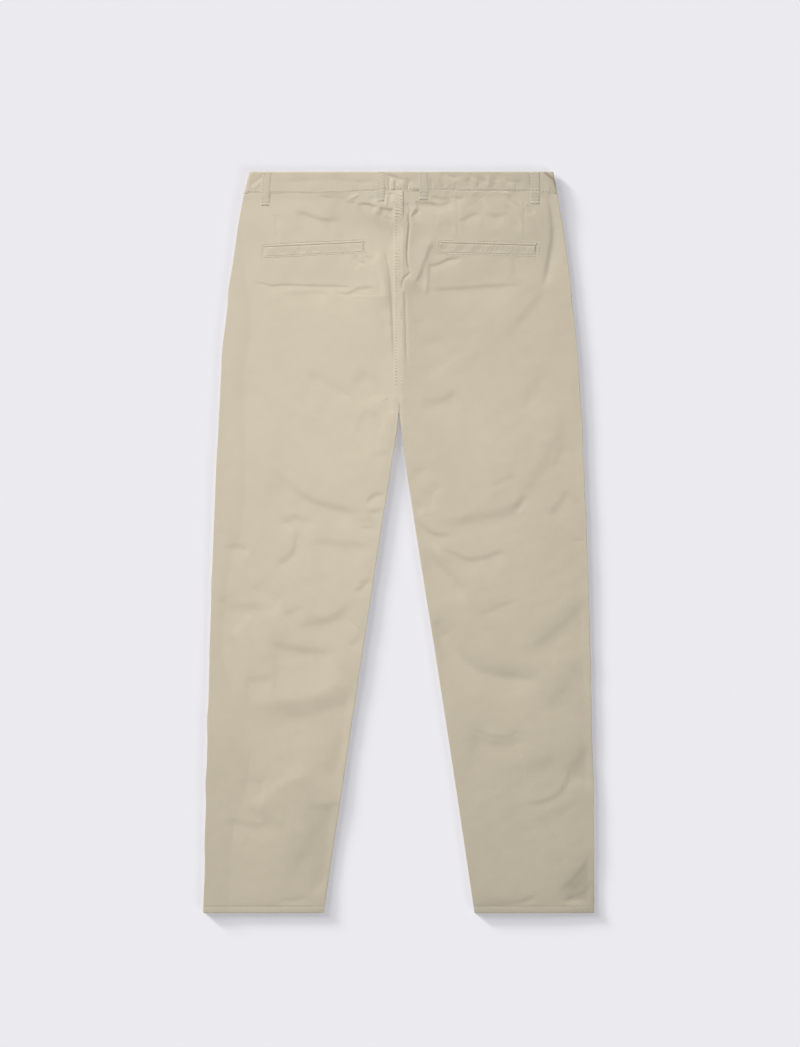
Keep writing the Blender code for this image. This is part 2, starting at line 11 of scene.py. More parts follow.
import bpy
import numpy as np
from bpy.props import FloatProperty, FloatVectorProperty, IntProperty, PointerProperty
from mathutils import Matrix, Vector


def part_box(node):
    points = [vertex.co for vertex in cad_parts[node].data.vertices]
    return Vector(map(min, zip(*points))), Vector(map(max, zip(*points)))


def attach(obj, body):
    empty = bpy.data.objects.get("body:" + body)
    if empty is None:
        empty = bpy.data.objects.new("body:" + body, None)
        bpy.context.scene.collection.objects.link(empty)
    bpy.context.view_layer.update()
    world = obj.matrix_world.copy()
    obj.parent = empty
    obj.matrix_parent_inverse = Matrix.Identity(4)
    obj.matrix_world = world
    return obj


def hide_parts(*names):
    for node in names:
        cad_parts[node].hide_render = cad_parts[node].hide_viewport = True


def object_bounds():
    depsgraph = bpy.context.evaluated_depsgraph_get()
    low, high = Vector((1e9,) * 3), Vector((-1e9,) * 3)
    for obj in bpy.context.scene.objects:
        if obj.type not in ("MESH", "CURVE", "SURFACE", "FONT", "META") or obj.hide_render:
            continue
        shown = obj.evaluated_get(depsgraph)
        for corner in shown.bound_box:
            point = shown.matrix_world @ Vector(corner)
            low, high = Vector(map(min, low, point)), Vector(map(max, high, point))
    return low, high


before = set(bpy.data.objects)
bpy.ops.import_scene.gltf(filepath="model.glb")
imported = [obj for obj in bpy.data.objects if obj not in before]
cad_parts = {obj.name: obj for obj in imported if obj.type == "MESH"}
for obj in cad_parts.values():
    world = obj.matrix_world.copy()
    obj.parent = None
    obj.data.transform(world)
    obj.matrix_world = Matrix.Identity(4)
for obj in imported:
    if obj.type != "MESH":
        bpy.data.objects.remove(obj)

bl_info = {
    "name": "Chino trousers",
    "version": (1, 0, 0),
    "blender": (4, 5, 0),
    "location": "3D View > Sidebar > Trousers",
    "description": "Dresses the flat chino trousers with creased twill, stitching and a plain studio",
    "category": "Object",
}

MM = 0.001
FLOOR_REACH = 12.0
FLOOR_Z = -0.0004
VIEW_CENTRE = (0.0014, 0.0267)
LAMP_AIM = Vector((0.0, 0.1, 0.0))
SIDES = ((-1, "left"), (1, "right"))
CAD_BOUNDS = [list(corner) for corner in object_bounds()]
TOP_Y = CAD_BOUNDS[1][1] / MM
LENGTH = (CAD_BOUNDS[1][1] - CAD_BOUNDS[0][1]) / MM
BAND_UNDER, BAND_TOP = [corner[2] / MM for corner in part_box("waistband")]

BAND_DEPTH = 31.0
BAND_THICKNESS = 1.3
STRIP_THICKNESS = 0.5
CROTCH = 341.0
HEM_TURN = 9.2
FELL_WIDTH = 11.4
FELL_RISE = 0.45
FELL_END = 45.0
SEAM_GAP = 0.3
FOLD_TOP = 4.6
WAIST_TOP = 7.3
WAIST_RAMP = 85.0
LAP_EDGE = 3.0
UNDERLAP_RISE = 1.8
UNDERLAP_END = 24.0
POCKET_TOP_INSET = 52.0
POCKET_MOUTH_END = 192.0
FACING_END = 178.0

Width = namedtuple("Width", "down left right")
SIDE_LINE = (
    Width(0, 211.5, 218.7),
    Width(31, 219.3, 224.0),
    Width(75, 227.5, 231.3),
    Width(125, 235.0, 239.0),
    Width(190, 243.4, 246.0),
    Width(270, 251.4, 254.0),
    Width(340, 255.0, 258.4),
    Width(470, 261.3, 264.2),
    Width(600, 266.2, 268.8),
    Width(750, 270.4, 272.6),
    Width(900, 274.0, 275.9),
    Width(1050, 276.7, 276.8),
)
INSEAM = (
    Width(341, 0.2, 0.2),
    Width(360, 2.2, 2.6),
    Width(402, 8.7, 7.8),
    Width(508, 25.5, 23.6),
    Width(720, 57.6, 57.2),
    Width(933, 89.4, 89.6),
    Width(1050, 106.8, 106.8),
)

# Width of the darker strip beside the left fold, where the cloth falls away from it. Its shade is partly
# painted into the cloth's colour.
Strip = namedtuple("Strip", "down width")
FOLD_STRIP = (
    Strip(50, 2),
    Strip(100, 6),
    Strip(120, 13),
    Strip(150, 19),
    Strip(190, 31),
    Strip(230, 36),
    Strip(270, 31),
    Strip(360, 36),
    Strip(450, 41),
    Strip(500, 38),
    Strip(560, 24),
    Strip(620, 18),
    Strip(700, 20),
    Strip(760, 40),
    Strip(800, 58),
    Strip(860, 56),
    Strip(920, 40),
    Strip(1050, 34),
)

# Distance from the band's top edge to its lower seam over the back.
Depth = namedtuple("Depth", "x depth")
BAND_SEAM = (
    Depth(-219, 31.0),
    Depth(-180, 31.2),
    Depth(-95, 31.0),
    Depth(-50, 28.4),
    Depth(-20, 27.0),
    Depth(0, 26.8),
    Depth(62, 26.6),
    Depth(100, 27.6),
    Depth(150, 28.0),
    Depth(192, 28.8),
    Depth(208, 31.0),
    Depth(224, 31.0),
)

# A crease runs through its points as (x, down). Height is below zero for a trough. Left and right are how
# far it takes to fall away on each hand of someone who walks along it, seen from above, and sharp is the
# falling curve's power: near 1 is a pinched line, 2 a soft one and 0 a straight slope.
Crease = namedtuple("Crease", "points height left right sharp")
# A fall is a step down on the right hand: it takes `soft` on each side of its line, and the cloth is back up
# after `back`.
Fall = namedtuple("Fall", "points height soft back")
SEAT_CREASES = (
    # the ridge under the band at the centre, its long slope and the pinched folds on it
    Crease(((-108, 38), (-72, 41), (-45, 45), (-20, 51), (0, 57), (22, 64)), -1.9, 0, 31, 0),
    Fall(((-114, 34), (-103, 35.3), (-92, 36)), 0.3, 1.3, 8),
    Fall(((-96, 35.5), (-84, 37), (-70, 39.5)), 0.35, 2.4, 12),
    Fall(((-76, 43), (-68, 43.4), (-60, 43.6)), 0.35, 1.4, 10),
    Fall(((-60, 45.4), (-50, 45.6), (-43, 46.2), (-36, 48.6), (-29, 50.6)), 1.0, 1.6, 8),
    Fall(((-27, 50), (-20, 52.6), (-13, 53.6), (-6, 51.4)), 1.1, 1.8, 8),
    Fall(((-34, 59), (-27, 58.6), (-20, 60)), 0.45, 1.8, 8),
    Fall(((-18, 58.6), (-12, 58.2), (-7, 58.4)), 0.5, 1.6, 6),
    Fall(((-31, 60), (-21, 64), (-13, 66), (-6, 68)), 0.5, 2.2, 10),
    Crease(((-72, 39), (-64, 36), (-57, 31.5)), 0.5, 2.2, 2.2, 1.6),
    Fall(((-44, 38), (-38, 36), (-33, 36)), 0.4, 2.0, 8),
    Crease(((-17.6, 34), (-17.6, 40), (-17, 50)), 0.5, 2.0, 2.0, 1.6),
    Crease(((-9, 33), (-9, 38), (-8.6, 46)), 0.4, 1.6, 2.0, 1.6),
    Fall(((-10, 42), (-12.6, 36), (-14.6, 30)), 0.5, 1.3, 5),
    Fall(((-152, 57), (-132, 60), (-116, 65.6), (-100, 68.5), (-82, 68.6)), 0.8, 2.8, 25),
    # right of it, the deep folds beside the fell
    Crease(((6, 43), (9.4, 49), (10.4, 56), (9.6, 66)), -0.3, 4, 4, 2.0),
    Crease(((12, 44), (15, 51), (18.5, 58)), -0.5, 1.8, 2.4, 1.5),
    Crease(
        ((18.5, 55), (13.8, 62), (14.8, 77), (12.6, 98), (11.9, 121), (14, 135), (17.6, 142)),
        -1.0, 1.3, 1.5, 1.5,
    ),
    Crease(((18, 142), (12, 147.5), (6.6, 153), (4.7, 161), (6.5, 170)), -0.85, 1.6, 2, 1.3),
    Crease(((7, 163), (9, 178), (9.6, 205), (10.2, 228), (10.8, 252), (13, 280)), -0.75, 1.4, 2.2, 1.2),
    Crease(((17, 58), (21, 53), (28, 50.6)), 0.25, 2.4, 3, 1.6),
    Fall(((16, 63.4), (20.6, 60.6), (24, 56.5), (29, 53)), 0.8, 1.6, 8),
    Fall(((22.5, 42), (29, 44), (37, 44.4), (43, 43.6), (48, 40.6)), 0.9, 1.6, 8),
    Fall(((24, 47), (36, 49), (46, 47)), 0.45, 2.4, 10),
    Fall(((44, 34), (54, 36.6), (64, 38.6), (77, 36)), 0.8, 2.4, 9),
    Fall(((68, 26), (72.5, 30.4), (77, 35.4), (86, 36.8), (96, 34.6)), 0.5, 1.5, 8),
    Fall(((40, 48), (50, 46.6), (62, 46.4), (70, 43), (76, 37)), 0.9, 2.4, 12),
    Crease(((43, 45), (50, 42.6)), 0.5, 2, 2, 1.6),
    # the broad fold that leans on the right pocket
    Crease(
        ((13, 170), (20, 160), (26, 150), (31.5, 138), (36, 124), (41, 111), (47, 100), (55, 84)),
        0.9, 16, 10, 1.7,
    ),
    Fall(((18, 164), (27, 151), (33, 138), (38, 123), (44, 108), (52, 92)), 0.75, 1.8, 16),
    Crease(((39.6, 126), (39.6, 150), (37.6, 178)), 0.6, 2.2, 3.2, 1.5),
    # left of the fell, below the pockets
    Fall(((-7, 284), (-7.4, 255), (-9.6, 222), (-11, 190), (-13, 160), (-15.6, 136), (-19.5, 120),
          (-25.5, 104)), 1.0, 2.0, 7),
    Crease(((-29, 110), (-26, 134), (-21, 160), (-18, 196)), 0.6, 5, 8, 1.8),
    Fall(((-20, 236), (-26, 214), (-29, 194), (-34, 172)), 0.45, 5, 22),
    Fall(((-31, 176), (-29.5, 162), (-27, 150)), 0.35, 2.4, 8),
    Fall(((-212, 146), (-150, 145), (-90, 147), (-36, 149)), 0.9, 14, 40),
    Fall(((-214, 158), (-192, 158), (-180, 161.5), (-168, 160), (-140, 160.4), (-100, 161.4), (-74, 162.4),
          (-62, 166)), 0.5, 1.2, 9),
    Fall(((-92, 168.4), (-78, 172.4), (-68, 170.4), (-57, 165.6), (-45, 164.2), (-28, 164)), 0.5, 1.5, 10),
    Fall(((-166, 174), (-142, 172), (-118, 170.4), (-92, 172)), 0.45, 3.5, 20),
    Fall(((-61, 117), (-56, 124), (-49, 132)), 0.6, 1.8, 8),
    Fall(((-56, 128), (-44, 128.4)), 0.3, 2.0, 10),
    Fall(((-52, 119), (-42, 121), (-32, 124)), 0.35, 1.8, 10),
    Fall(((-44, 160), (-47, 146), (-49, 130)), 0.25, 2.0, 8),
    # the right half's pocket bag and side
    Fall(((36, 168), (62, 166.5), (88, 164.6), (116, 162.4), (148, 161), (180, 160)), 0.65, 2.8, 24),
    Fall(((40, 152), (98, 149), (170, 146)), 0.7, 13, 40),
    Fall(((37, 133), (48, 132.4), (58, 129.6), (70, 124), (80, 122.4), (92, 122)), 0.75, 1.8, 9),
    Fall(((162, 152), (162, 134), (160, 118)), 0.35, 4, 12),
    Fall(((202, 168), (207, 148), (211, 126), (215.4, 102), (216.6, 82), (215.6, 64), (212.4, 46),
          (209.6, 26)), 1.35, 2.8, 13),
    Fall(((218, 86), (226, 74), (222, 62)), 0.4, 3, 8),
    Fall(((158, 224), (178, 202), (194, 182), (207, 160)), 0.5, 4.5, 26),
    Fall(((168, 340), (184, 318), (196, 294), (216, 266)), 0.7, 9, 40),
    Fall(((80, 300), (118, 262), (160, 220), (200, 178)), 0.5, 16, 50),
    Fall(((54, 306), (38, 284), (30, 252), (26, 226)), 0.5, 12, 40),
    Fall(((20, 212), (30, 211), (40, 213)), 0.25, 2.4, 12),
    # between the right darts
    Fall(((84, 68), (92, 67.4), (98, 63.4), (106, 60.6), (120, 60)), 0.55, 2.0, 14),
    Fall(
        ((112, 30), (118, 38), (120.6, 48), (123.6, 57), (131, 61.4), (143, 61.8), (158, 58)),
        0.75, 3.2, 16,
    ),
    Fall(((108, 28), (115, 33), (119, 40)), 0.5, 4, 12),
    Crease(((146, 26), (157, 36), (171, 50)), 0.8, 2.6, 2.6, 1.6),
    Fall(((157, 30), (166, 37), (173, 47)), 0.5, 2.2, 9),
    Fall(((146, 45), (158, 51.6), (165, 60), (170.5, 72), (174, 84)), 0.6, 2.4, 10),
    Fall(((182, 45), (188, 52), (193, 60)), 0.45, 1.4, 8),
    Fall(((58, 70), (68, 73.4), (80, 72.6)), 0.4, 3.4, 14),
    # above the legs
    Fall(((-146, 280), (-114, 291), (-90, 302), (-60, 318)), 0.65, 7, 34),
    Fall(((-86, 307), (-77, 312.4), (-66, 318.6)), 0.25, 1.4, 6),
    Fall(((-62, 278), (-42, 290), (-26, 304), (-14, 326)), 0.8, 8, 26),
    Fall(((-16, 318), (-11.6, 330), (-8, 344)), 0.5, 2.2, 9),
    Fall(((-54, 338), (-36, 345), (-14, 350)), 0.45, 7, 30),
    Fall(((26, 327), (54, 324), (70, 319), (80, 308)), 0.9, 6, 24),
)
LEFT_LEG_CREASES = (
    Fall(((-40, 400), (-25, 400), (-10, 396.5)), 0.3, 2.4, 12),
    Fall(
        ((-180, 416), (-162, 436), (-143, 454), (-120, 467), (-95, 474), (-66, 480), (-42, 483)),
        1.0, 5, 40,
    ),
    Fall(((-46, 482), (-32, 480.4), (-19, 479.4)), 0.45, 1.7, 10),
    Fall(((-50, 473), (-42, 464), (-34, 458), (-26, 457), (-18, 458.6)), 0.6, 1.7, 8),
    Fall(((-60, 503.4), (-42, 504), (-25, 504.6)), 0.32, 1.2, 8),
    Fall(((-72, 492), (-46, 494), (-26, 494)), 0.4, 4.5, 20),
    Fall(((-170, 505), (-160, 494.6), (-146, 489.6), (-132, 493.6), (-110, 500)), 0.65, 4.2, 24),
    Fall(((-178, 563), (-167, 553), (-156.5, 545.5), (-149, 535), (-147, 521), (-150, 507)), 0.75, 4.0, 18),
    Fall(((-134, 523.2), (-100, 525.4), (-70, 527.6), (-32, 532)), 0.75, 5, 34),
    Fall(((-248, 530.6), (-230, 530), (-208, 534.6)), 0.5, 3.2, 14),
    Fall(((-261, 508), (-245, 510)), 0.25, 2, 8),
    Fall(((-196, 574), (-187, 590), (-175, 600), (-160, 607)), 0.55, 7, 30),
    Fall(((-66, 599), (-54, 588.6), (-46, 580.4), (-34, 577)), 0.6, 2.4, 12),
    Fall(((-252, 618), (-226, 617), (-205, 616), (-178, 622)), 0.6, 5, 28),
    Fall(((-166, 628), (-152, 622), (-138, 614)), 0.45, 4, 18),
    Fall(((-226, 658), (-237, 647), (-246, 630), (-252, 614), (-259, 600)), 0.6, 4, 20),
    Fall(((-152, 647), (-130, 639.4), (-106, 636), (-88, 630), (-78, 620), (-62, 611)), 1.0, 6, 40),
    Fall(((-187, 669), (-166, 671), (-140, 677), (-112, 679.4), (-82, 678)), 0.85, 5, 40),
    Fall(((-220, 719), (-203, 718.4), (-176, 716)), 0.55, 4.5, 24),
    Fall(((-72, 675), (-62, 664), (-48, 655)), 0.6, 4, 16),
    Crease(((-214, 750), (-160, 748), (-110, 740), (-70, 714)), 0.5, 16, 12, 1.8),
    Fall(
        ((-222, 767), (-172, 767), (-136, 765), (-106, 758), (-86, 750), (-71, 737), (-54, 712)),
        1.15, 10, 60,
    ),
    Fall(((-130, 862), (-100, 838), (-86, 808), (-66, 782)), 1.2, 14, 44),
    Crease(((-206, 914), (-190, 894), (-168, 872), (-140, 858), (-112, 850)), 0.9, 14, 34, 1.6),
    Fall(((-222, 861), (-204, 863), (-186, 863)), 0.4, 5, 22),
    Fall(((-130, 904), (-114, 900), (-96, 899), (-76, 892)), 0.45, 4, 22),
    Fall(((-162, 1034), (-148, 988), (-128, 950), (-112, 918), (-88, 884)), 2.3, 20, 90),
    Fall(((-131, 1030), (-121, 1012), (-116, 994), (-112, 976), (-102, 960), (-94, 944)), 0.9, 4.5, 12),
    Fall(((-248, 919), (-226, 921.6), (-204, 926), (-172, 918)), 0.5, 4, 22),
    Fall(((-176, 1032), (-152, 1031), (-128, 1026)), 0.5, 3.2, 9),
)
RIGHT_LEG_CREASES = (
    Fall(((14, 426), (25, 423.4), (40, 419)), 0.4, 3, 12),
    Fall(((17, 465), (26, 470.4), (38, 480)), 0.7, 3, 14),
    Crease(((60, 440), (49, 458), (43, 482)), -0.3, 5, 9, 1.5),
    Fall(((21, 489), (32, 500), (42, 509), (54, 514), (80, 516)), 0.8, 2.8, 16),
    Fall(((48, 501), (85, 495), (120, 489), (150, 482), (171, 470), (186, 452)), 1.1, 7, 40),
    Crease(((165, 482), (173, 470), (180, 459)), -0.4, 5, 5, 2.0),
    Fall(((210, 490), (223, 475), (231, 463), (240, 450)), 0.7, 4, 20),
    Fall(((244, 520), (256, 520.4), (270, 521)), 0.28, 1.3, 7),
    Fall(
        ((56, 537), (76, 539.4), (92, 547.6), (107, 549.4), (126, 544.6), (140, 540), (160, 536)),
        0.8, 2.8, 18,
    ),
    Fall(((34, 532), (52, 549), (66, 562.6), (84, 582), (106, 614)), 1.1, 5, 26),
    Crease(((44, 529), (55, 539), (66, 550)), 0.3, 3, 3, 1.6),
    Fall(((110, 626), (126, 621.4), (146, 614), (174, 603)), 0.35, 2.6, 14),
    Fall(((130, 446), (146, 437), (166, 427)), 0.4, 3, 16),
    Fall(((162, 464), (178, 449), (198, 428), (213, 394), (226, 374), (228, 336)), 0.75, 8, 50),
    Fall(((217, 424), (225, 404), (234, 384)), 0.5, 4.5, 16),
    Fall(((176, 686), (197, 669), (214, 657), (233, 641), (252, 621), (280, 596)), 1.5, 10, 42),
    Crease(
        ((56, 612), (68, 654), (82, 682), (98, 699), (118, 710.6), (145, 717), (172, 720), (208, 722)),
        -1.6, 13, 28, 1.5,
    ),
    Fall(((130, 711), (156, 712), (180, 716), (210, 716)), 0.2, 3.5, 12),
    Fall(((54, 634), (62, 647), (74, 660)), 0.7, 5, 20),
    Fall(((196, 770), (216, 754), (225, 740), (240, 718), (252, 702), (278, 676)), 1.4, 12, 80),
    Fall(((98, 786), (113, 792.4), (130, 799), (154, 800.6), (168, 793.4), (208, 796)), 0.35, 2.2, 12),
    Fall(((94, 794), (112, 801), (131, 808), (155, 809), (170, 803), (212, 805)), 1.1, 7, 34),
    Fall(((138, 849), (165, 846.6), (190, 843.6), (210, 834.4), (228, 812)), 0.85, 11, 54),
    Fall(((174, 897.4), (198, 893.6), (217, 887), (230, 877), (238, 863), (245, 844)), 0.7, 3.4, 16),
    Fall(((236, 872), (246, 848), (257, 830), (278, 802)), 1.6, 12, 56),
    Fall(((184, 928), (205, 917), (224, 909), (242, 897), (264, 876)), 0.9, 10, 52),
    Fall(((214, 1036), (236, 1012), (250, 998), (262, 983), (270, 968), (280, 950)), 0.4, 2.4, 12),
    Fall(((220, 1040), (243, 1017), (257, 1002), (268, 987), (284, 962)), 1.5, 9, 90),
    Fall(((228, 1037), (244, 1029), (259, 1024), (268, 1014), (277, 996)), 1.0, 3.2, 7),
    Fall(((106, 1040), (140, 1038.6), (165, 1036), (181, 1031), (198, 1026)), 0.6, 2.8, 8),
)
BAND_CREASES = (
    Crease(((-184, 17), (-104, 12), (-36, 17)), -0.24, 5, 7, 1.6),
    Fall(((-64, 15.4), (-52, 12.6), (-42, 12.4), (-37, 16)), 0.22, 1.8, 7),
    Fall(((-21, 2.6), (-14, 4.8), (-6, 7), (1, 8.6), (5, 12), (8.6, 18)), 0.75, 1.6, 6),
    Crease(((2, 13), (5, 17), (7.6, 24)), 0.3, 1.6, 1.6, 1.6),
    Fall(((9, 7), (15, 11.6), (18.6, 17), (19.8, 26)), 0.5, 1.3, 5),
    Crease(((16.4, 12), (13.4, 17), (11.6, 27)), -0.45, 1.3, 1.6, 1.4),
    Crease(((-14, 8), (-14, 18), (-14.5, 27)), -0.5, 1.5, 1.8, 1.5),
    Crease(((-8.6, 9), (-8.6, 18), (-8.4, 28)), 0.5, 1.4, 1.6, 1.5),
    Crease(((-3.4, 11), (-3.6, 20)), -0.35, 1.4, 1.6, 1.5),
    Fall(((43, 24), (44.4, 18), (44, 11)), 0.4, 1.6, 5),
    Crease(((63, 8), (68, 14), (74, 21)), 0.3, 2, 2.2, 1.5),
    Fall(((58, 9), (63, 14), (69, 20)), 0.28, 1.8, 7),
    Fall(((61, -2), (65, 2), (70, 5.2), (76, 7), (83, 10)), 0.55, 1.8, 7),
    Fall(((78, 14), (86, 18), (90, 25)), 0.35, 1.8, 7),
    Fall(((97, 24), (97.4, 17), (95, 10)), 0.4, 1.8, 6),
    Crease(((102, 9), (107, 14), (112, 21)), 0.3, 2, 2, 1.5),
    Fall(((102, -2), (105.4, 3.6), (110, 7), (117, 9), (122, 13), (124.6, 22)), 0.6, 2.2, 7),
    Fall(((112, 22), (112, 10)), 0.4, 1.6, 5),
    Crease(((127.4, 4), (127.6, 14), (126.6, 23)), 0.35, 2.4, 2.4, 1.5),
    Fall(((134, 22), (134.4, 15), (134, 8)), 0.4, 1.8, 6),
    Fall(((150, 11.6), (162, 13), (180, 12.6)), 0.35, 1.8, 8),
    Fall(((186, 24), (186, 14), (184, 5)), 0.35, 1.8, 6),
    Crease(((-216, 24), (-200, 12), (-184, 1)), -0.32, 3, 3, 1.5),
    Crease(((-212, 27), (-196, 16), (-180, 7)), 0.2, 3, 3, 1.5),
)
# Painted shade on the cloth's colour, or painted light below zero, as soft ovals with half widths.
Patch = namedtuple("Patch", "x down wide tall tone")
PAINTED_SHADE_PATCHES = (
    Patch(-84, 846, 26, 26, 0.025),
    Patch(-100, 925, 18, 36, 0.04),
    Patch(-106, 990, 28, 54, 0.075),
    Patch(-128, 1030, 34, 24, 0.03),
    Patch(-150, 1012, 24, 34, 0.02),
    Patch(-130, 1046, 34, 14, 0.03),
    Patch(-262, 850, 26, 50, 0.015),
    Patch(-262, 370, 14, 90, 0.02),
    Patch(228, 424, 24, 56, 0.02),
    Patch(258, 636, 16, 34, 0.025),
    Patch(262, 850, 20, 80, 0.03),
    Patch(262, 730, 18, 50, 0.03),
    Patch(160, 840, 60, 34, 0.02),
    Patch(-222, 758, 8, 24, 0.02),
    Patch(270, 1026, 30, 40, 0.14),
    Patch(124, 1036, 40, 16, 0.03),
    Patch(196, 1042, 70, 12, 0.035),
    Patch(44, 355, 36, 28, 0.012),
    Patch(112, 370, 34, 80, -0.024),
    Patch(-6, 150, 30, 60, 0.03),
    Patch(-250, 890, 40, 60, -0.014),
    Patch(-60, 716, 20, 16, 0.02),
    Patch(66, 200, 34, 30, 0.02),
    Patch(128, 130, 36, 26, 0.012),
    Patch(-20, 76, 16, 16, 0.02),
    Patch(-45, 40, 40, 10, 0.02),
    Patch(14, 200, 9, 120, 0.03),
    Patch(50, 150, 14, 18, 0.02),
    Patch(204, 80, 36, 90, 0.025),
    Patch(150, 12, 80, 14, 0.03),
    Patch(-8, 76, 20, 14, 0.035),
    Patch(-36, 67, 30, 11, 0.035),
    Patch(20, 75, 14, 26, 0.03),
    Patch(130, 75, 110, 60, 0.022),
    Patch(20, 170, 34, 60, 0.03),
    Patch(150, 225, 80, 60, 0.012),
    Patch(10, 230, 20, 120, 0.02),
    Patch(208, 390, 26, 40, -0.028),
    Patch(208, 480, 50, 34, 0.02),
    Patch(-180, 930, 60, 50, -0.018),
    Patch(110, 1030, 140, 34, 0.02),
)
# Where a pinched line keeps the light out, as creases with their tone for a height.
DARK_LINES = (
    Crease(((201, -4), (205.6, 0), (212, 5.6), (219, 11.4), (222.6, 18.7), (226, 34)), 0.34, 0.9, 1.6, 1.7),
    Crease(((205, -3), (213, 4), (221, 12), (224, 24)), 0.10, 1, 8, 1.7),
)
Dart = namedtuple("Dart", "x start end")
DARTS = (Dart(-173, 60, 103), Dart(83, 34, 96), Dart(177, 38, 97))

# Belt loops, on the back (1) or the front (-1). Lean is how far the lower end stands to the right.
Loop = namedtuple("Loop", "name face middle width reach lean")
LOOPS = (
    Loop("belt_loop_side_left", 1, -186.4, 12.6, 49.0, -3.6),
    Loop("belt_loop_back_left", 1, -25.9, 12.2, 42.5, 0.0),
    Loop("belt_loop_back_right", 1, 34.8, 12.7, 40.5, 0.0),
    Loop("belt_loop_side_right", 1, 192.8, 13.0, 46.5, 0.0),
    Loop("belt_loop_front_left", -1, -112.0, 13.0, 46.0, 0.0),
    Loop("belt_loop_front_right", -1, 116.0, 13.0, 46.0, 0.0),
)
Welt = namedtuple("Welt", "name side outer_x outer_down inner_x inner_down")
WELTS = (
    Welt("welt_left", -1, -192.8, 106.9, -50.6, 99.8),
    Welt("welt_right", 1, 195.4, 104.7, 57.6, 100.9),
)
WELT_DEPTH = 13.2
WELT_LIP = 3.0
WELT_ROWS = (-4.0, 14.8)
WELT_ENDS = (-2.6, 2.0)
FELL_ROWS = (-4.3, 3.3)
FLY_ROW = ((-35, 33), (-35, 120), (-34, 150), (-26, 172), (-10, 185), (2, 188))
BAND_ROW = 2.8
LOOP_ROW = 0.68
ROLL_SHARE = 0.15
# Stations of a rolled edge: degrees of its turn, and how far it has gone on over the flat.
ROLL = ((4, 0), (24, 0), (46, 0), (66, 0), (84, 0), (90, 0.35), (90, 0.8), (90, 1.6), (90, 2.8))
SINK = 0.5


# ---------------------------------------------------------------- settings


def sized(name, description, default_mm):
    """A setting that is a length, from its default in millimetres."""
    return FloatProperty(name=name, description=description, default=default_mm * MM, unit="LENGTH")


def amount(name, description, default, unit="NONE"):
    """A setting that is a plain number, or a lamp's power."""
    return FloatProperty(name=name, description=description, default=default, unit=unit)


def tint(name, description, red, green, blue):
    """A setting that is a colour."""
    return FloatVectorProperty(
        name=name, description=description, subtype="COLOR", size=4, default=(red, green, blue, 1.0),
    )


class TROUSERS_PG_cloth(bpy.types.PropertyGroup):
    """Sizes and colours of the cloth"""

    thickness: sized("Cloth thickness", "Thickness of one layer of twill", 0.9)
    crown: amount("Crown", "Multiplies the swell of the back above its side folds", 1.0)
    crease_depth: amount("Crease depth", "Multiplies every crease's height", 1.9)
    crumple: sized("Crumple", "Height of the small unevenness between the creases", 0.05)
    colour: tint("Cloth colour", "Colour of the dyed twill", 0.60, 0.535, 0.415)
    shade: tint("Shade colour", "Colour between the yarns", 0.50, 0.44, 0.335)
    # Painted shade: the right half's cloth colour is scaled by this, darker than the left half's.
    nap: amount("Right_half_shade", "How light the right half's cloth shows against the left half's", 0.945)
    # Painted shade: how much the cloth's colour is darkened in the strip beside the left fold.
    strip: amount("Strip", "How much darker the strip beside the left fold shows", 0.015)
    seed: IntProperty(name="Seed", description="Seed of the unevenness", default=7)


class TROUSERS_PG_stitching(bpy.types.PropertyGroup):
    """Sizes and colour of the topstitching"""

    pitch: sized("Pitch", "From one stitch to the next", 4.4)
    length: sized("Length", "Length of a stitch", 2.7)
    thickness: sized("Thread", "Thickness of the thread", 1.0)
    hole: sized("Needle hole", "Size of the dent where the thread goes down", 1.25)
    colour: tint("Thread colour", "Colour of the sewing thread", 0.82, 0.775, 0.68)


class TROUSERS_PG_studio(bpy.types.PropertyGroup):
    """Floor, lights and camera"""

    floor: tint("Floor colour", "Colour of the floor", 0.80, 0.793, 0.831)
    fill: amount("Fill", "Strength of the light from all round", 0.21)
    sky_light: amount("Sky light", "Strength of the broad light from above on the cloth", 0.66)
    window: amount("Window", "Power of the large light on the cloth from the upper left", 308.0, "POWER")
    softbox: amount("Softbox", "Power of the light above the cloth", 3.3, "POWER")
    top_light: amount("Top light", "Strength of the even light on the floor", 0.99)
    low_light: amount("Low light", "Strength of the low light that gives the floor its shadow", 3.6)
    low_height: amount("Low light's elevation", "In degrees above the floor", 11.5)
    low_azimuth: amount("Low light's side", "In degrees to the left of the waist's side", 50.0)
    low_spread: amount("Low light's spread", "Width of the low light in degrees", 9.0)
    camera_height: sized("Camera height", "Height of the camera above the floor", 4200.0)
    frame_height: sized("Frame height", "Length of floor from the top to the bottom of the view", 1485.0)


# ---------------------------------------------------------------- curves and heights


def ease(value):
    """A smooth step from 0 to 1 as the value goes from 0 to 1."""
    value = np.clip(value, 0.0, 1.0)
    return value * value * (3.0 - 2.0 * value)


def along(line, column, at, key="down"):
    """A column of a table at places along its key column, on a smooth curve through its rows."""
    places = np.array([getattr(row, key) for row in line], float)
    values = np.array([getattr(row, column) for row in line], float)
    slopes = np.gradient(values, places)
    at = np.clip(at, places[0], places[-1])
    i = np.clip(np.searchsorted(places, at, side="right") - 1, 0, len(places) - 2)
    step = places[i + 1] - places[i]
    t = (at - places[i]) / step
    start = (1 + 2 * t) * (1 - t) ** 2 * values[i] + t * (1 - t) ** 2 * slopes[i] * step
    end = t * t * (3 - 2 * t) * values[i + 1] - t * t * (1 - t) * slopes[i + 1] * step
    return start + end


def seam_down(x):
    """Distance from the band's top edge to its seam, over the back."""
    return along(BAND_SEAM, "depth", x, "x")


def side_x(side, down):
    """x of the side fold, on the left (-1) or the right (1)."""
    return side * along(SIDE_LINE, "left" if side < 0 else "right", down)


def inseam_x(side, down):
    """x of the inner leg seam."""
    return side * along(INSEAM, "left" if side < 0 else "right", down)


def waist_lift(down):
    """1 at the waist seam, falling to 0 where the trousers lie flat."""
    return 1.0 - ease((down - BAND_DEPTH) / WAIST_RAMP)


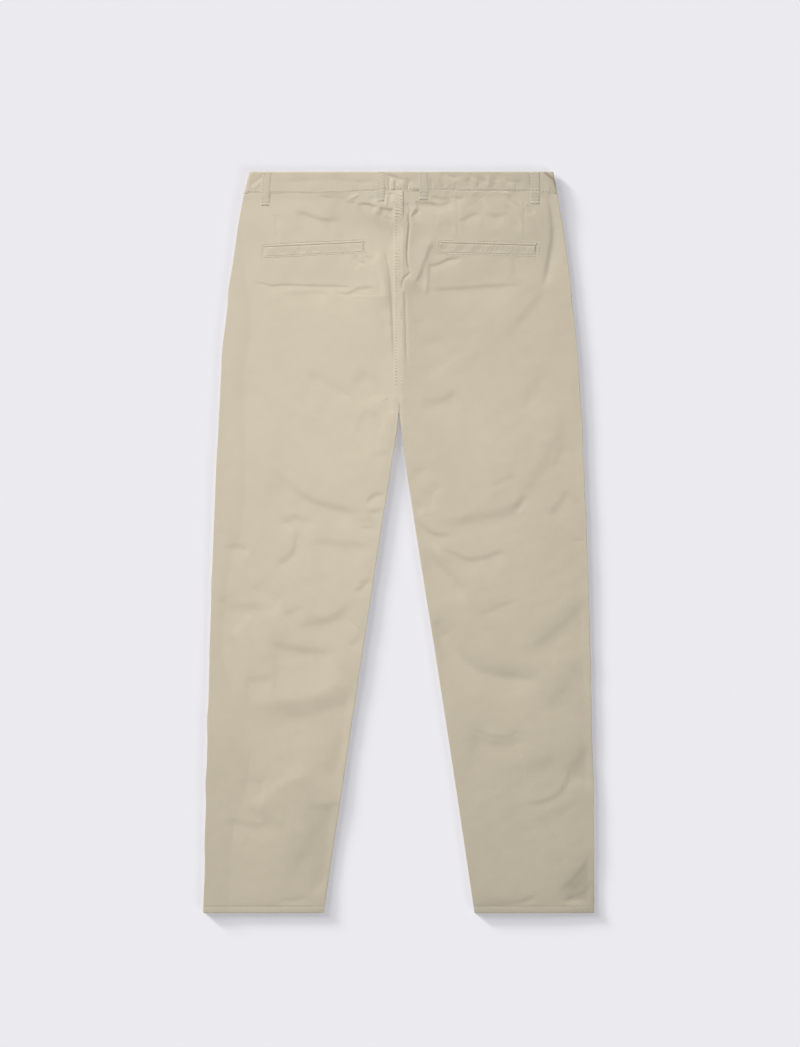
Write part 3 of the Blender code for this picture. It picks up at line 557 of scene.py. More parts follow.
def under_z(down):
    """Height of the trousers' underside, which the band lifts a little."""
    return BAND_UNDER * waist_lift(down)


def over_z(down):
    """Height of the side folds' upper edge."""
    return FOLD_TOP + (WAIST_TOP - FOLD_TOP) * waist_lift(down)


def bell(at, width, power=2):
    """1 at 0, dying away to both sides over about a width. A higher power is flatter on top."""
    return np.exp(-((at / width) ** power))


def smooth_line(points, steps=7):
    """A smooth curve through the points, as closely spaced points."""
    points = np.array(points, float)
    points = np.vstack([2 * points[0] - points[1], points, 2 * points[-1] - points[-2]])
    t = (np.arange(steps) / steps)[:, None]
    runs = [
        0.5 * (2 * b + (c - a) * t + (2 * a - 5 * b + 4 * c - d) * t**2 + (3 * b - a - 3 * c + d) * t**3)
        for a, b, c, d in zip(points, points[1:], points[2:], points[3:])
    ]
    return np.vstack(runs + [points[-2]])


def crease_height(crease, x, down):
    """The height of a crease or fall at arrays of places. It fades out at both ends of its line."""
    line = smooth_line(crease.points)
    falls = isinstance(crease, Fall)
    reach = max(3 * crease.soft, 2 * crease.back) if falls else 3.6 * max(crease.left, crease.right)
    low, high = line.min(axis=0) - reach, line.max(axis=0) + reach
    near = (x > low[0]) & (x < high[0]) & (down > low[1]) & (down < high[1])
    height = np.zeros(np.shape(x))
    if not near.any():
        return height
    px, py = x[near], down[near]
    best, share, hand = np.full(px.shape, np.inf), np.zeros(px.shape), np.zeros(px.shape)
    for i, (start, run) in enumerate(zip(line, np.diff(line, axis=0))):
        dx, dy = px - start[0], py - start[1]
        s = np.clip((dx * run[0] + dy * run[1]) / run.dot(run), 0.0, 1.0)
        away = np.hypot(dx - s * run[0], dy - s * run[1])
        nearer = away < best
        best = np.where(nearer, away, best)
        share = np.where(nearer, (i + s) / (len(line) - 1), share)
        hand = np.where(nearer, run[0] * dy - run[1] * dx, hand)
    past = np.where(hand > 0, best, -best)
    to_end = np.minimum(share, 1.0 - share)
    quick = 4.6
    if falls:
        quick -= 0.14 * min(crease.soft, 9.0)
        least = 2.0 * crease.soft
        back = least + max(crease.back - least, 0.0) * ease(3.2 * to_end)
        shape = -0.5 * (1 + np.tanh(past / crease.soft)) * bell(np.maximum(past, 0), back, 1.5)
    elif crease.sharp == 0:
        past = past / crease.right
        shape = np.clip(past, 0, 1) * bell(np.maximum(past - 1, 0), 1.6, 1.5)
    else:
        shape = bell(best, np.where(hand > 0, crease.right, crease.left), crease.sharp)
    height[near] = crease.height * ease(quick * to_end) * shape
    return height


def unevenness(x, down, wavelength, seed, stretch=1.0):
    """Smooth random heights of about one, with bumps about a wavelength across."""
    random = np.random.default_rng(seed)
    x, down = np.broadcast_arrays(x, down)
    total = np.zeros(x.shape)
    waves = 14
    for _ in range(waves):
        angle = random.uniform(0, 2 * math.pi)
        size = 2 * math.pi / (wavelength * random.uniform(0.65, 1.6))
        phase = random.uniform(0, 2 * math.pi)
        bend = random.uniform(0.2, 0.6)
        twist = random.uniform(0, 2 * math.pi)
        course = np.cos(angle) * x + np.sin(angle) * down / stretch
        cross = -np.sin(angle) * x + np.cos(angle) * down / stretch
        total += np.cos(size * course + phase + bend * np.sin(0.6 * size * cross + twist))
    return total / math.sqrt(waves / 2)


def puckers(along_row, from_row, wavelength, reach, seed):
    """Small ripples across a row of stitches, uneven in size, dying away from the row."""
    random = np.random.default_rng(seed)
    phase = random.uniform(0, 2 * math.pi, 4)
    wander = 1.1 * np.sin(along_row / 23 + phase[0]) + 0.8 * np.sin(along_row / 11 + phase[1])
    strength = 0.65 + 0.35 * np.sin(along_row / 31 + phase[2]) * np.sin(along_row / 17 + phase[3])
    ripple = np.sin(2 * math.pi * along_row / wavelength + wander)
    return strength * ripple * bell(from_row, reach)


def mouth_run(welt):
    """Length and direction of a back pocket's mouth, from its outer end to its inner one."""
    across, drop = welt.inner_x - welt.outer_x, welt.inner_down - welt.outer_down
    length = math.hypot(across, drop)
    return length, across / length, drop / length


def pocket_frame(welt, x, down):
    """Places in a pocket's own directions: along the mouth from its outer end, and below the mouth."""
    length, cos, sin = mouth_run(welt)
    dx, dy = x - welt.outer_x, down - welt.outer_down
    return dx * cos + dy * sin, dy * abs(cos) + dx * sin * welt.side, length


def on_pocket(welt, run, below):
    """x and down of a place in a pocket's own directions."""
    _, cos, sin = mouth_run(welt)
    return (
        welt.outer_x + run * cos + below * sin * welt.side,
        welt.outer_down + run * sin + below * abs(cos),
    )


def panel_crown(side, to_inner, to_outer, down):
    """How the filled leg swells over its two layers: high beside the left fold, with a fall away from it,
    and a long fall to the right one."""
    legs = ease((down - CROTCH) / 60.0)
    if side < 0:
        strip = along(FOLD_STRIP, "width", down)
        fall = np.clip((to_outer - 2.0) / strip, 0.0, 1.0)
        swell = 1.5 + 0.034 * strip * (1 - fall**1.8)
        return swell * (1 - 0.5 * legs * np.exp(-to_inner / 9.0))
    swell = 2.4 - 1.9 * (1 - np.clip(to_outer / 85.0, 0, 1)) ** 1.7
    return swell * (1 - 0.15 * legs * np.exp(-to_inner / 9.0))


def cloth_z(side, x, down):
    """Height of a back panel's outer face at arrays of places, as if no pocket was cut in it."""
    cloth = bpy.context.scene.trousers_cloth
    x, down = np.broadcast_arrays(np.asarray(x, float), np.asarray(down, float))
    outer = side_x(side, down)
    inner = np.where(down > CROTCH, inseam_x(side, down), 0.0)
    seam = seam_down(x)
    crown = panel_crown(side, np.abs(x - inner), np.abs(outer - x), down)
    crown = cloth.crown * crown * ease((down - seam) / 60.0)

    leg = LEFT_LEG_CREASES if side < 0 else RIGHT_LEG_CREASES
    folds = sum(crease_height(crease, x, down) for crease in SEAT_CREASES + leg)
    folds = cloth.crease_depth * folds
    folds = folds + 0.25 * unevenness(x, down, 150, cloth.seed + side, 1.0)
    folds = folds + cloth.crumple / MM * unevenness(x, down, 26, cloth.seed + 10 + side, 0.8)
    to_inner = np.where(down > CROTCH - 20, np.abs(x - inner), 99.0)
    edge = np.minimum(np.abs(outer - x), to_inner)
    folds = folds * (0.25 + 0.75 * ease(edge / 12.0))
    folds = folds * ease((down - seam + 1.5) / 4.0) * ease((LENGTH - HEM_TURN - down) / 14.0 + 0.3)
    lying = SINK * np.log1p(np.exp((crown + folds + 1.9) / SINK)) - 1.9
    return over_z(down) + lying + hem_relief(side, x, down) + seam_relief(side, x, down)


def back_z(side, x, down):
    """Height of a back panel's outer face, with its pocket."""
    return cloth_z(side, x, down) + pocket_relief(side, x, down)


def hem_relief(side, x, down):
    """The stitched turn of the hem: a groove on the stitches, and slanting ripples below it."""
    above_edge = LENGTH - down
    groove = -0.3 * bell(above_edge - HEM_TURN, 1.3)
    ripple = 0.16 * puckers(x + 0.8 * above_edge, above_edge - 5.0, 7.5, 5.0, 41 + side)
    swell = 0.18 * bell(above_edge - 4.5, 3.6)
    edge = -0.5 * (1 - ease(above_edge / 0.5))
    return groove + ripple + swell + edge


def pocket_relief(side, x, down):
    """The bed of the welt, and the pull of the stitched frame round it."""
    height = np.zeros(np.broadcast(x, down).shape)
    for welt in WELTS:
        if welt.side != side:
            continue
        run, below, length = pocket_frame(welt, x, down)
        bed = ease((run - 0.6) / 0.8) * ease((length - 0.6 - run) / 0.8)
        bed = bed * ease((below + WELT_LIP - 0.6) / 0.8) * ease((WELT_DEPTH - 0.6 - below) / 0.8)
        height = height - 0.8 * bed
        beside = ease((run + 8) / 5) * ease((length + 8 - run) / 5)
        for row in WELT_ROWS:
            height = height + 0.10 * beside * puckers(run, below - row, 7.5, 5.0, 51 + side)
    return height


def seam_relief(side, x, down):
    """The centre-back fell, the darts and the step down under the band."""
    seam = seam_down(x)
    swell = 0.45 * ease(np.abs(x + 8) / 22.0)
    height = swell * bell(down - seam, 7.0) - 1.7 * (1 - ease((down - seam + 1.2) / 1.1))
    height = height + 0.14 * puckers(x, down - seam, 8.5, 6.0, 61)
    fades = 1.0 - ease((down - CROTCH + FELL_END) / 30.0)
    if side < 0:
        flat = ease((x + FELL_WIDTH / 2 + 2.8) / 3.2)
        rounded = ease((FELL_WIDTH / 2 + 0.35 - x) / 0.8)
        lean = -0.3 + 0.4 * np.sin(down / 9)
        between = bell(x + 1.3, 3.9, 4)
        strong = (0.45 + bell(down - 48, 14)) * ease((250 - down) / 120)
        bars = 0.8 * strong * puckers(down + lean * x, 0 * x, 4.4, 5.2, 63) * between
        rows = sum(bell(x - at, 0.7) for at in FELL_ROWS)
        rise = FELL_RISE * flat * ease((down - seam) / 9)
        height = height + fades * (rise - 0.7 * flat * (1 - rounded) - 0.14 * rows + bars)
    else:
        drop = 0.1 + 0.35 * ease((down - 38) / 40)
        height = height - drop * fades * np.exp(-np.maximum(x - FELL_WIDTH / 2, 0) / 26)
    for dart in DARTS:
        if dart.x * side > 0:
            within = ease((down - dart.start) / 6) * ease((dart.end - down) / 6)
            past = (x - dart.x) / np.where(x < dart.x, 0.8, 1.8)
            height = height - 0.45 * within * np.exp(-(past**2))
    return height


def front_z(side, x, down):
    """Height of a front panel's outer face, which is the lower one: flat on the floor but for the hollows
    of a few creases."""
    x, down = np.broadcast_arrays(np.asarray(x, float), np.asarray(down, float))
    lapped = UNDERLAP_RISE * ease((UNDERLAP_END - x) / 19.0) if side > 0 else 0.0 * x
    folds = RIGHT_LEG_CREASES if side < 0 else LEFT_LEG_CREASES
    hollow = -0.35 * sum(crease_height(crease, -x, down) for crease in folds)
    edge = np.minimum(np.abs(side_x(side, down) - x), np.abs(x - inseam_x(side, down)))
    hollow = np.maximum(hollow, 0.0) * ease((edge - 4.0) / 12.0) * ease((LENGTH - HEM_TURN - down) / 20.0)
    return under_z(down) + lapped * waist_lift(down) ** 2 + hollow


def band_edges(down, seam):
    """How far the band's face falls away at its rounded upper and lower edges."""
    return 0.75 * (1 - ease(down / 0.9)) + 0.25 * (1 - ease((seam - down) / 0.7))


def band_z(x, down):
    """Height of the band's outer face over the back."""
    cloth = bpy.context.scene.trousers_cloth
    x, down = np.broadcast_arrays(np.asarray(x, float), np.asarray(down, float))
    seam = seam_down(x)
    height = cloth.crease_depth * sum(crease_height(crease, x, down) for crease in BAND_CREASES)
    height = height + 0.16 * unevenness(x, down, 48, cloth.seed + 31)
    right = 0.3 + 0.7 * ease((x + 20) / 60)
    height = height + 0.12 * right * unevenness(x, down, 15, cloth.seed + 32)
    half = np.where(x < 0, -side_x(-1, down), side_x(1, down))
    height = height * ease((half - np.abs(x)) / 8.0)
    past = x - np.interp(down, (0, 5.6, 11.4, 18.7, 31), (205.6, 212, 219, 222.6, 225))
    height = height - 0.16 * np.clip(past, 0.0, 9.0) - 1.1 * bell(past, 1.3)
    height = height + 0.2 * np.sin(math.pi * np.clip(down / seam, 0, 1)) ** 0.5
    height = height + 0.15 * puckers(x, down - (seam - BAND_ROW), 8.0, 4.5, 71)
    height = height - band_edges(down, seam)
    return BAND_TOP - 0.2 + height


# ---------------------------------------------------------------- meshes


def thinned(count, step, kept):
    """Indices of a run of points: each of the first and last `kept`, and every step-th between."""
    ends = [*range(kept), *range(count - max(kept, 1), count)]
    return np.array(sorted({*ends, *range(kept, count - kept, step)}))


def grid_shell(name, outer, thick, row_step=1, column_step=1, kept=0):
    """A closed shell from an outer grid of points, as rows by columns by xyz in mm, with its face outwards
    when rows run down and columns run to the right seen from outside. The inner face has fewer rows and
    columns where a step is given, apart from the `kept` columns at its sides, and stays clear of the
    outer one."""
    normal = np.cross(np.gradient(outer, axis=0), np.gradient(outer, axis=1))
    normal /= np.linalg.norm(normal, axis=2)[:, :, None]
    inner = outer - normal * thick
    count, width = outer.shape[:2]
    flat = slice(kept, width - kept)
    face = np.sign(normal[:, flat, 2].sum())
    clear = face * inner[:, :, 2]
    for axis, reach in ((0, row_step - 1), (1, column_step - 1)):
        near = clear.copy()
        for shift in range(1, reach + 1):
            for way in (-shift, shift):
                near = np.minimum(near, np.roll(clear, way, axis))
        clear = near
    edge = row_step * (row_step > 1)
    inner[edge:count - edge, flat, 2] = face * clear[edge:count - edge, flat]
    rows, columns = thinned(count, row_step, 0), thinned(width, column_step, kept)
    inner = inner[np.ix_(rows, columns)]

    index = np.arange(count * width).reshape(count, width)
    back = index.size + np.arange(len(rows) * len(columns)).reshape(len(rows), len(columns))

    def quads(a, b, c, d):
        return np.stack([a.ravel(), b.ravel(), c.ravel(), d.ravel()], axis=1).tolist()

    faces = quads(index[:-1, :-1], index[1:, :-1], index[1:, 1:], index[:-1, 1:])
    faces += quads(back[:-1, :-1], back[:-1, 1:], back[1:, 1:], back[1:, :-1])
    for ring, under, stops in (
        (index[0], back[0], columns),
        (index[:, -1], back[:, -1], rows),
        (index[-1, ::-1], back[-1, ::-1], width - 1 - columns[::-1]),
        (index[::-1, 0], back[::-1, 0], count - 1 - rows[::-1]),
    ):
        for i, (start, end) in enumerate(zip(stops, stops[1:])):
            faces.append(ring[start:end + 1].tolist() + [int(under[i + 1]), int(under[i])])
    points = np.concatenate([outer.reshape(-1, 3), inner.reshape(-1, 3)])
    mesh = bpy.data.meshes.new(name)
    mesh.from_pydata((points * MM).tolist(), [], faces)
    mesh.update()
    return mesh, points


def add_uv(mesh, points, centre):
    """A flat map in metres, across from the panel's own middle line and along its length, and the painted
    shade.
    """
    across, down = points[:, 0], TOP_Y - points[:, 1]
    layer = mesh.uv_layers.new(name="Cut")
    corners = np.zeros(len(mesh.loops), int)
    mesh.loops.foreach_get("vertex_index", corners)
    flat = np.stack([across - centre(down), down], axis=1) * MM
    layer.data.foreach_set("uv", flat[corners].ravel())
    # A per-point attribute of painted shade and painted light, which scales the cloth's colour.
    mesh.attributes.new("nap", "FLOAT", "POINT").data.foreach_set("value", nap(across, down))


def link_piece(name, mesh):
    """Links a mesh as a piece at the origin, which rides the trousers."""
    piece = bpy.data.objects.new(name, mesh)
    bpy.context.scene.collection.objects.link(piece)
    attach(piece, "root")
    return piece


def lay_sheet(node, grid, centre, thick=None, thinning=(1, 1, 0), slot="cloth", **facts):
    thick = thick or bpy.context.scene.trousers_cloth.thickness / MM
    mesh, points = grid_shell(f"{node}_cloth", grid, thick, *thinning)
    add_uv(mesh, points, centre)
    mesh.materials.append(cloth_finish(slot))
    mesh.shade_smooth()
    piece = link_piece(f"{node}_cloth", mesh)
    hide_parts(node)


def roll_edge(at, inwards, roll, down, face, height, reach=3.0):
    """Points of a panel's edge, from its seam to the flat cloth: a quarter turn where roll is 1, drawn in
    where the band covers it."""
    covered = 1.6 * (1 - ease((down - BAND_DEPTH + 0.5) / 2.0)) * roll
    top = height(at + inwards * 3.0, down) if face > 0 else over_z(down)
    middle = (under_z(down) + over_z(down)) / 2
    reach_up = top - middle if face > 0 else middle - under_z(down)
    depth = np.minimum((over_z(down) - under_z(down)) / 2, 2.6) * ROLL_SHARE
    xs, zs = [], []
    for i, (turn, flat) in enumerate(ROLL):
        turn = math.radians(turn)
        tuck = 0.35 * math.exp(-i / 0.8)
        round_x = at + inwards * (covered + depth * (1 - math.cos(turn)) + tuck + flat)
        round_z = middle + face * (reach_up - covered) * math.sin(turn)
        flat_x = at + inwards * reach * i / len(ROLL)
        xs.append(roll * round_x + (1 - roll) * flat_x)
        zs.append(roll * round_z + (1 - roll) * height(flat_x, down))
    return np.array(xs).T, np.array(zs).T


def panel_grid(down, inner, outer, inner_roll, outer_roll, shares, face, height):
    """A panel's outer face as a grid. The arguments down to outer_roll have a value for each row, and
    shares are the columns' places between the two edges."""
    way = np.sign(outer - inner)
    one = roll_edge(inner, way, inner_roll, down, face, height)
    two = roll_edge(outer, -way, outer_roll, down, face, height)
    start = inner + way * (3.2 + 1.2 * inner_roll)
    end = outer - way * 4.4
    x = start[:, None] + (end - start)[:, None] * shares
    z = height(x, down[:, None])
    return as_grid(
        np.concatenate([one[0], x, two[0][:, ::-1]], axis=1), down,
        np.concatenate([one[1], z, two[1][:, ::-1]], axis=1),
    )


def as_grid(x, down, z):
    """A grid of points from its columns' x and z, with a distance down for each row or each point."""
    down = down if np.ndim(down) == 2 else down[:, None]
    return np.stack([x, np.broadcast_to(TOP_Y - down, x.shape), z], axis=2)


def ease_in_edges(grid, times=3):
    """Softens the join between the rolled edge and the flat of a grid, along its columns."""
    z = grid[:, :, 2]
    for start, stop in ((7, 14), (-14, -7)) * times:
        near = z[:, start - 1:stop - 1] + 2 * z[:, start:stop] + z[:, start + 1:stop + 1]
        z[:, start:stop] = near / 4
    return grid


def rows_between(start, end, step, fine=()):
    """Rows from start to end, `step` apart, but closer in each fine stretch of (from, to, step)."""
    rows = [start]
    while rows[-1] < end:
        here = min([s for a, b, s in fine if a <= rows[-1] < b] + [step])
        rows.append(rows[-1] + here)
    rows[-1] = end
    return np.array(rows)


def graded_shares(down, near=24.0, near_step=0.75, far_count=106):
    """Columns that start with `near` millimetres of close steps and go on evenly. Below the crotch the
    close ones spread out."""
    close = np.arange(0, near, near_step)
    width = 235.0 - 60.0 * ease((down - CROTCH) / 700)
    stretch = (1.0 + 1.4 * ease((down - CROTCH + 10) / 120))[:, None] / width[:, None]
    first = near * stretch
    return np.concatenate([close * stretch, first + (1 - first) * np.linspace(0, 1, far_count)], axis=1)


def inner_roll(down):
    """How far a panel's inner edge rolls in: not at the centre seams, and fully down the inner legs."""
    return ease((down - CROTCH + 18.0) / 18.0)


def leg_middle(side, down):
    """The middle line of one side, which the cloth's grain follows."""
    return (side_x(side, down) + np.where(down > CROTCH, inseam_x(side, down), 0)) / 2


def straight(at, down):
    """The middle line of a piece whose grain runs straight down."""
    return at + 0 * down


# ---------------------------------------------------------------- finishes


def nap(x, down):
    """Painted shade and light for the cloth's colour: the right half painted darker than the left, painted
    shade in the strip beside the left fold, and painted shade or light in soft patches and along the dark
    lines."""
    cloth = bpy.context.scene.trousers_cloth
    beside = ease((along(FOLD_STRIP, "width", down) + 4.0 - np.abs(side_x(-1, down) - x)) / 5.0)
    tone = np.where(x < FELL_WIDTH / 2, 1.0 - cloth.strip * beside, cloth.nap)
    for patch in PAINTED_SHADE_PATCHES:
        away = ((x - patch.x) / patch.wide) ** 2 + ((down - patch.down) / patch.tall) ** 2
        tone = tone - patch.tone * np.exp(-away)
    return tone - sum(crease_height(line, x, down) for line in DARK_LINES)


def feed(tree, node, inputs):
    """Fills a node's inputs, by name or number: an output is linked, and anything else is a value."""
    for name, value in inputs.items():
        if isinstance(value, bpy.types.NodeSocket):
            tree.links.new(value, node.inputs[name])
        else:
            node.inputs[name].default_value = value


def add_node(tree, kind, inputs=None, **settings):
    """Adds a node with its own settings and its inputs."""
    node = tree.nodes.new(kind)
    for name, value in settings.items():
        setattr(node, name, value)
    feed(tree, node, inputs or {})
    return node


def new_material(name, look):
    """A material, and two functions: one adds a node, the other fills the shader's inputs."""
    material = bpy.data.materials.new(name)
    material.use_nodes = True
    tree = material.node_tree
    shade = partial(feed, tree, tree.nodes["Principled BSDF"])
    shade(look)
    return material, partial(add_node, tree), shade


def twill(name, colour, dark):
    """Dyed cotton twill: fine slanting ribs, uneven yarns and soft mottling, on the cut's own map."""
    material, add, shade = new_material(name, {
        "Roughness": 0.88, "Specular IOR Level": 0.25,
        "Sheen Weight": 0.25, "Sheen Roughness": 0.45, "Sheen Tint": (1.0, 0.97, 0.9, 1.0),
    })
    cut = add("ShaderNodeUVMap", uv_map="Cut").outputs["UV"]
    slant = add("ShaderNodeMapping", {"Vector": cut, "Rotation": (0, 0, math.radians(28))})
    ribs = add(
        "ShaderNodeTexWave",
        {"Vector": slant.outputs["Vector"], "Scale": 520, "Distortion": 1.2, "Detail": 2, "Detail Scale": 3},
        wave_type="BANDS", bands_direction="X", wave_profile="SIN",
    ).outputs["Fac"]

    def noise(scale, detail, rough):
        inputs = {"Vector": cut, "Scale": scale, "Detail": detail, "Roughness": rough}
        return add("ShaderNodeTexNoise", inputs, noise_dimensions="2D").outputs["Fac"]

    yarn, mottle, crinkle = noise(1500, 2, 0.55), noise(38, 4, 0.6), noise(170, 5, 0.6)
    spread = add("ShaderNodeMapRange", {
        "Value": mottle, "From Min": 0.3, "From Max": 0.7, "To Min": 0.22, "To Max": 0.38,
    })
    blend = add("ShaderNodeMath", {0: ribs, 1: 0.45, 2: spread.outputs["Result"]}, operation="MULTIPLY_ADD")
    grain = add("ShaderNodeMath", {0: yarn, 1: 0.35, 2: blend.outputs["Value"]}, operation="MULTIPLY_ADD")
    tone = add("ShaderNodeMix", {"Factor": grain.outputs["Value"], "A": dark, "B": colour}, data_type="RGBA")
    # The colour is scaled by the per-point attribute of painted shade and painted light.
    painted_tone = add("ShaderNodeAttribute", attribute_name="nap")
    shaded = add(
        "ShaderNodeVectorMath", {0: tone.outputs["Result"], "Scale": painted_tone.outputs["Fac"]}, operation="SCALE",
    )
    below = {}
    for source, depth, strength in ((crinkle, 0.3, 0.5), (yarn, 0.12, 0.7), (ribs, 0.09, 0.8)):
        bump = add("ShaderNodeBump", {
            "Height": source, "Distance": depth * MM, "Strength": strength, **below,
        })
        below = {"Normal": bump.outputs["Normal"]}
    shade({"Base Color": shaded.outputs["Vector"], **below})
    return material


def thread_finish(name, colour):
    """Sewing thread: plied, slightly glossy and a shade off the cloth. The needle holes' painted shade is a
    darker one.
    """
    if name in bpy.data.materials:
        return bpy.data.materials[name]
    material, add, shade = new_material(name, {"Roughness": 0.6, "Sheen Weight": 0.2})
    place = add("ShaderNodeTexCoord").outputs["Object"]
    ply = add("ShaderNodeTexNoise", {"Vector": place, "Scale": 2200}).outputs["Fac"]
    dark = (colour[0] * 0.82, colour[1] * 0.8, colour[2] * 0.78, 1)
    tone = add("ShaderNodeMix", {"Factor": ply, "A": dark, "B": colour}, data_type="RGBA")
    relief = add("ShaderNodeBump", {"Height": ply, "Distance": 0.1 * MM})
    shade({"Base Color": tone.outputs["Result"], "Normal": relief.outputs["Normal"]})
    return material


def horn_finish():
    """Brown resin that looks like horn, with soft streaks."""
    material, add, shade = new_material("horn_button", {"Roughness": 0.28, "Coat Weight": 0.3})
    place = add("ShaderNodeTexCoord").outputs["Object"]
    streaks = add("ShaderNodeTexNoise", {"Vector": place, "Scale": 220, "Detail": 5, "Distortion": 1.6})
    ramp = add("ShaderNodeValToRGB", {"Fac": streaks.outputs["Fac"]})
    stops = ((0.32, (0.10, 0.06, 0.035, 1)), (0.72, (0.36, 0.25, 0.15, 1)))
    for stop, (position, colour) in zip(ramp.color_ramp.elements, stops):
        stop.position, stop.color = position, colour
    shade({"Base Color": ramp.outputs["Color"]})
    return material


def cloth_finish(slot):
    """The twill of a slot. The slot of the doubled band and the loops gets a twill a little darker."""
    cloth = bpy.context.scene.trousers_cloth
    name, light = ("twill", 1.0) if slot == "cloth" else ("band_twill", 0.93)
    colour = (*(light * value for value in cloth.colour[:3]), 1.0)
    return bpy.data.materials.get(name) or twill(name, colour, tuple(cloth.shade))


# ---------------------------------------------------------------- pieces


class TROUSERS_OT_back_panels(bpy.types.Operator):
    """Build the two back panels as creased shells"""

    bl_idname = "trousers.back_panels"
    bl_label = "Back panels"

    def execute(self, context):
        down = rows_between(
            24.6, LENGTH, 2.5,
            ((0, 33, 0.55), (33, 180, 1.25), (180, CROTCH + 10, 1.6), (LENGTH - 14, LENGTH - 1.6, 1.2),
             (LENGTH - 1.6, LENGTH, 0.4)),
        )
        lap = FELL_WIDTH / 2 * (1.0 - ease((down - CROTCH + FELL_END) / 40.0))
        roll = inner_roll(down)
        for side, word in SIDES:
            centre = lap * (1.0 if side < 0 else 0.25) + 0.2
            inner = np.where(down <= CROTCH, centre, inseam_x(side, down))
            outer = side_x(side, down) + 0.35 * unevenness(down * 0, down, 70, 81 + side)
            height = partial(back_z, side)
            grid = panel_grid(down, inner, outer, roll, down * 0 + 1.0, graded_shares(down), 1, height)
            lay_sheet(
                f"back_{word}", ease_in_edges(grid)[:, ::side], partial(leg_middle, side), None, (4, 4, 9),
                flat=(0.29, 1.03), rests_on=[f"front_{word}_cloth"], area=0.236,
            )
        return {"FINISHED"}


def mouth_x(side, down):
    """x of the slanted front pocket mouth."""
    share = (down - BAND_DEPTH) / (POCKET_MOUTH_END - BAND_DEPTH)
    top = abs(float(side_x(side, BAND_DEPTH))) - POCKET_TOP_INSET
    end = abs(float(side_x(side, POCKET_MOUTH_END))) - SEAM_GAP
    return side * (top + (end - top) * share)


class TROUSERS_OT_front_panels(bpy.types.Operator):
    """Build the two front panels, flat under the back, with the slanted pocket mouths cut away"""

    bl_idname = "trousers.front_panels"
    bl_label = "Front panels"

    def execute(self, context):
        down = rows_between(
            BAND_DEPTH + 0.3, LENGTH, 4.6,
            ((0, 120, 4.0), (CROTCH - 20, CROTCH + 20, 2.5), (FACING_END - 4, FACING_END + 8, 1.2),
             (LENGTH - 14, LENGTH, 1.5)),
        )
        drift = ease((down - CROTCH + 60.0) / 55.0)
        roll = inner_roll(down)
        beside_mouth = down <= FACING_END + 0.5
        turned = np.where(beside_mouth, 0.0, 1.0)
        for side, word in SIDES:
            centre = (1 - drift) * LAP_EDGE + side * SEAM_GAP / 2
            inner = np.where(down <= CROTCH, centre, inseam_x(side, down))
            outer = np.where(beside_mouth, mouth_x(side, down), side_x(side, down))
            shares = np.linspace(0, 1, 58)[None, :]
            grid = panel_grid(down, inner, outer, roll, turned, shares, -1, partial(front_z, side))
            lay_sheet(
                f"front_{word}", grid[:, ::-side], partial(leg_middle, side), None, (2, 2, 9),
                flat=(0.28, 1.02), area=0.222,
            )
        return {"FINISHED"}


class TROUSERS_OT_pocket_facings(bpy.types.Operator):
    """Build the cloth behind the slanted front pocket mouths"""

    bl_idname = "trousers.pocket_facings"
    bl_label = "Pocket facings"

    def execute(self, context):
        down = rows_between(BAND_DEPTH + 0.3, FACING_END, 4.0)
        middle = (under_z(down) + over_z(down))[:, None] / 2
        radius = (over_z(down) - under_z(down))[:, None] / 2
        turns = np.radians(np.linspace(86, 4, 8))
        for side, word in SIDES:
            inner = (mouth_x(side, down) + side * SEAM_GAP)[:, None]
            outer = side_x(side, down)[:, None]
            flat = inner + (outer - inner) * np.linspace(0, 0.5, 14)
            curl = np.minimum(radius, np.abs(outer - flat[:, -1:]) * 0.9)
            x = np.concatenate([flat, outer - side * curl * (1 - np.cos(turns))], axis=1)
            z = np.concatenate([front_z(side, flat, down[:, None]), middle - radius * np.sin(turns)], axis=1)
            lay_sheet(
                f"pocket_facing_{word}", as_grid(x, down, z)[:, ::-side], partial(leg_middle, side),
                flat=(0.06, 0.15), area=0.0044,
            )
        return {"FINISHED"}


def band_stations():
    """The band's way round the waist from its underlap to its lap, as (side, kind, value, z, across, up)."""
    route = []
    for x in np.concatenate([np.arange(-38, 24, 2.0), np.arange(24, 205, 4.0)]):
        rise = UNDERLAP_RISE * float(ease((UNDERLAP_END - x) / 19.0))
        route.append((1, "x", x, BAND_UNDER + rise, 0.0, -1.0))
    for turn in np.radians(np.linspace(-90, 78, 12)):
        route.append((1, "edge", turn, 0.0, math.cos(turn), math.sin(turn)))
    for share in np.linspace(0.985, -0.985, 400):
        route.append((1 if share >= 0 else -1, "share", abs(share), BAND_TOP, 0.0, 1.0))
    for turn in np.radians(np.linspace(78, -90, 12)):
        route.append((-1, "edge", turn, 0.0, -math.cos(turn), math.sin(turn)))
    for x in np.concatenate([np.arange(-200, -20, 4.0), np.arange(-20, LAP_EDGE - 0.2, 2.0)]):
        route.append((-1, "x", x, BAND_UNDER, 0.0, -1.0))
    return route


def band_end(side, value, rows):
    """x and height of the band where it turns round a side, `value` being the angle."""
    half = side * side_x(side, rows)
    radius = (band_z(side * (half - 3.0), rows) - BAND_UNDER) / 2
    x = side * (half - ROLL_SHARE * radius * (1 - math.cos(value)))
    return x, BAND_UNDER + radius * (1 + math.sin(value))


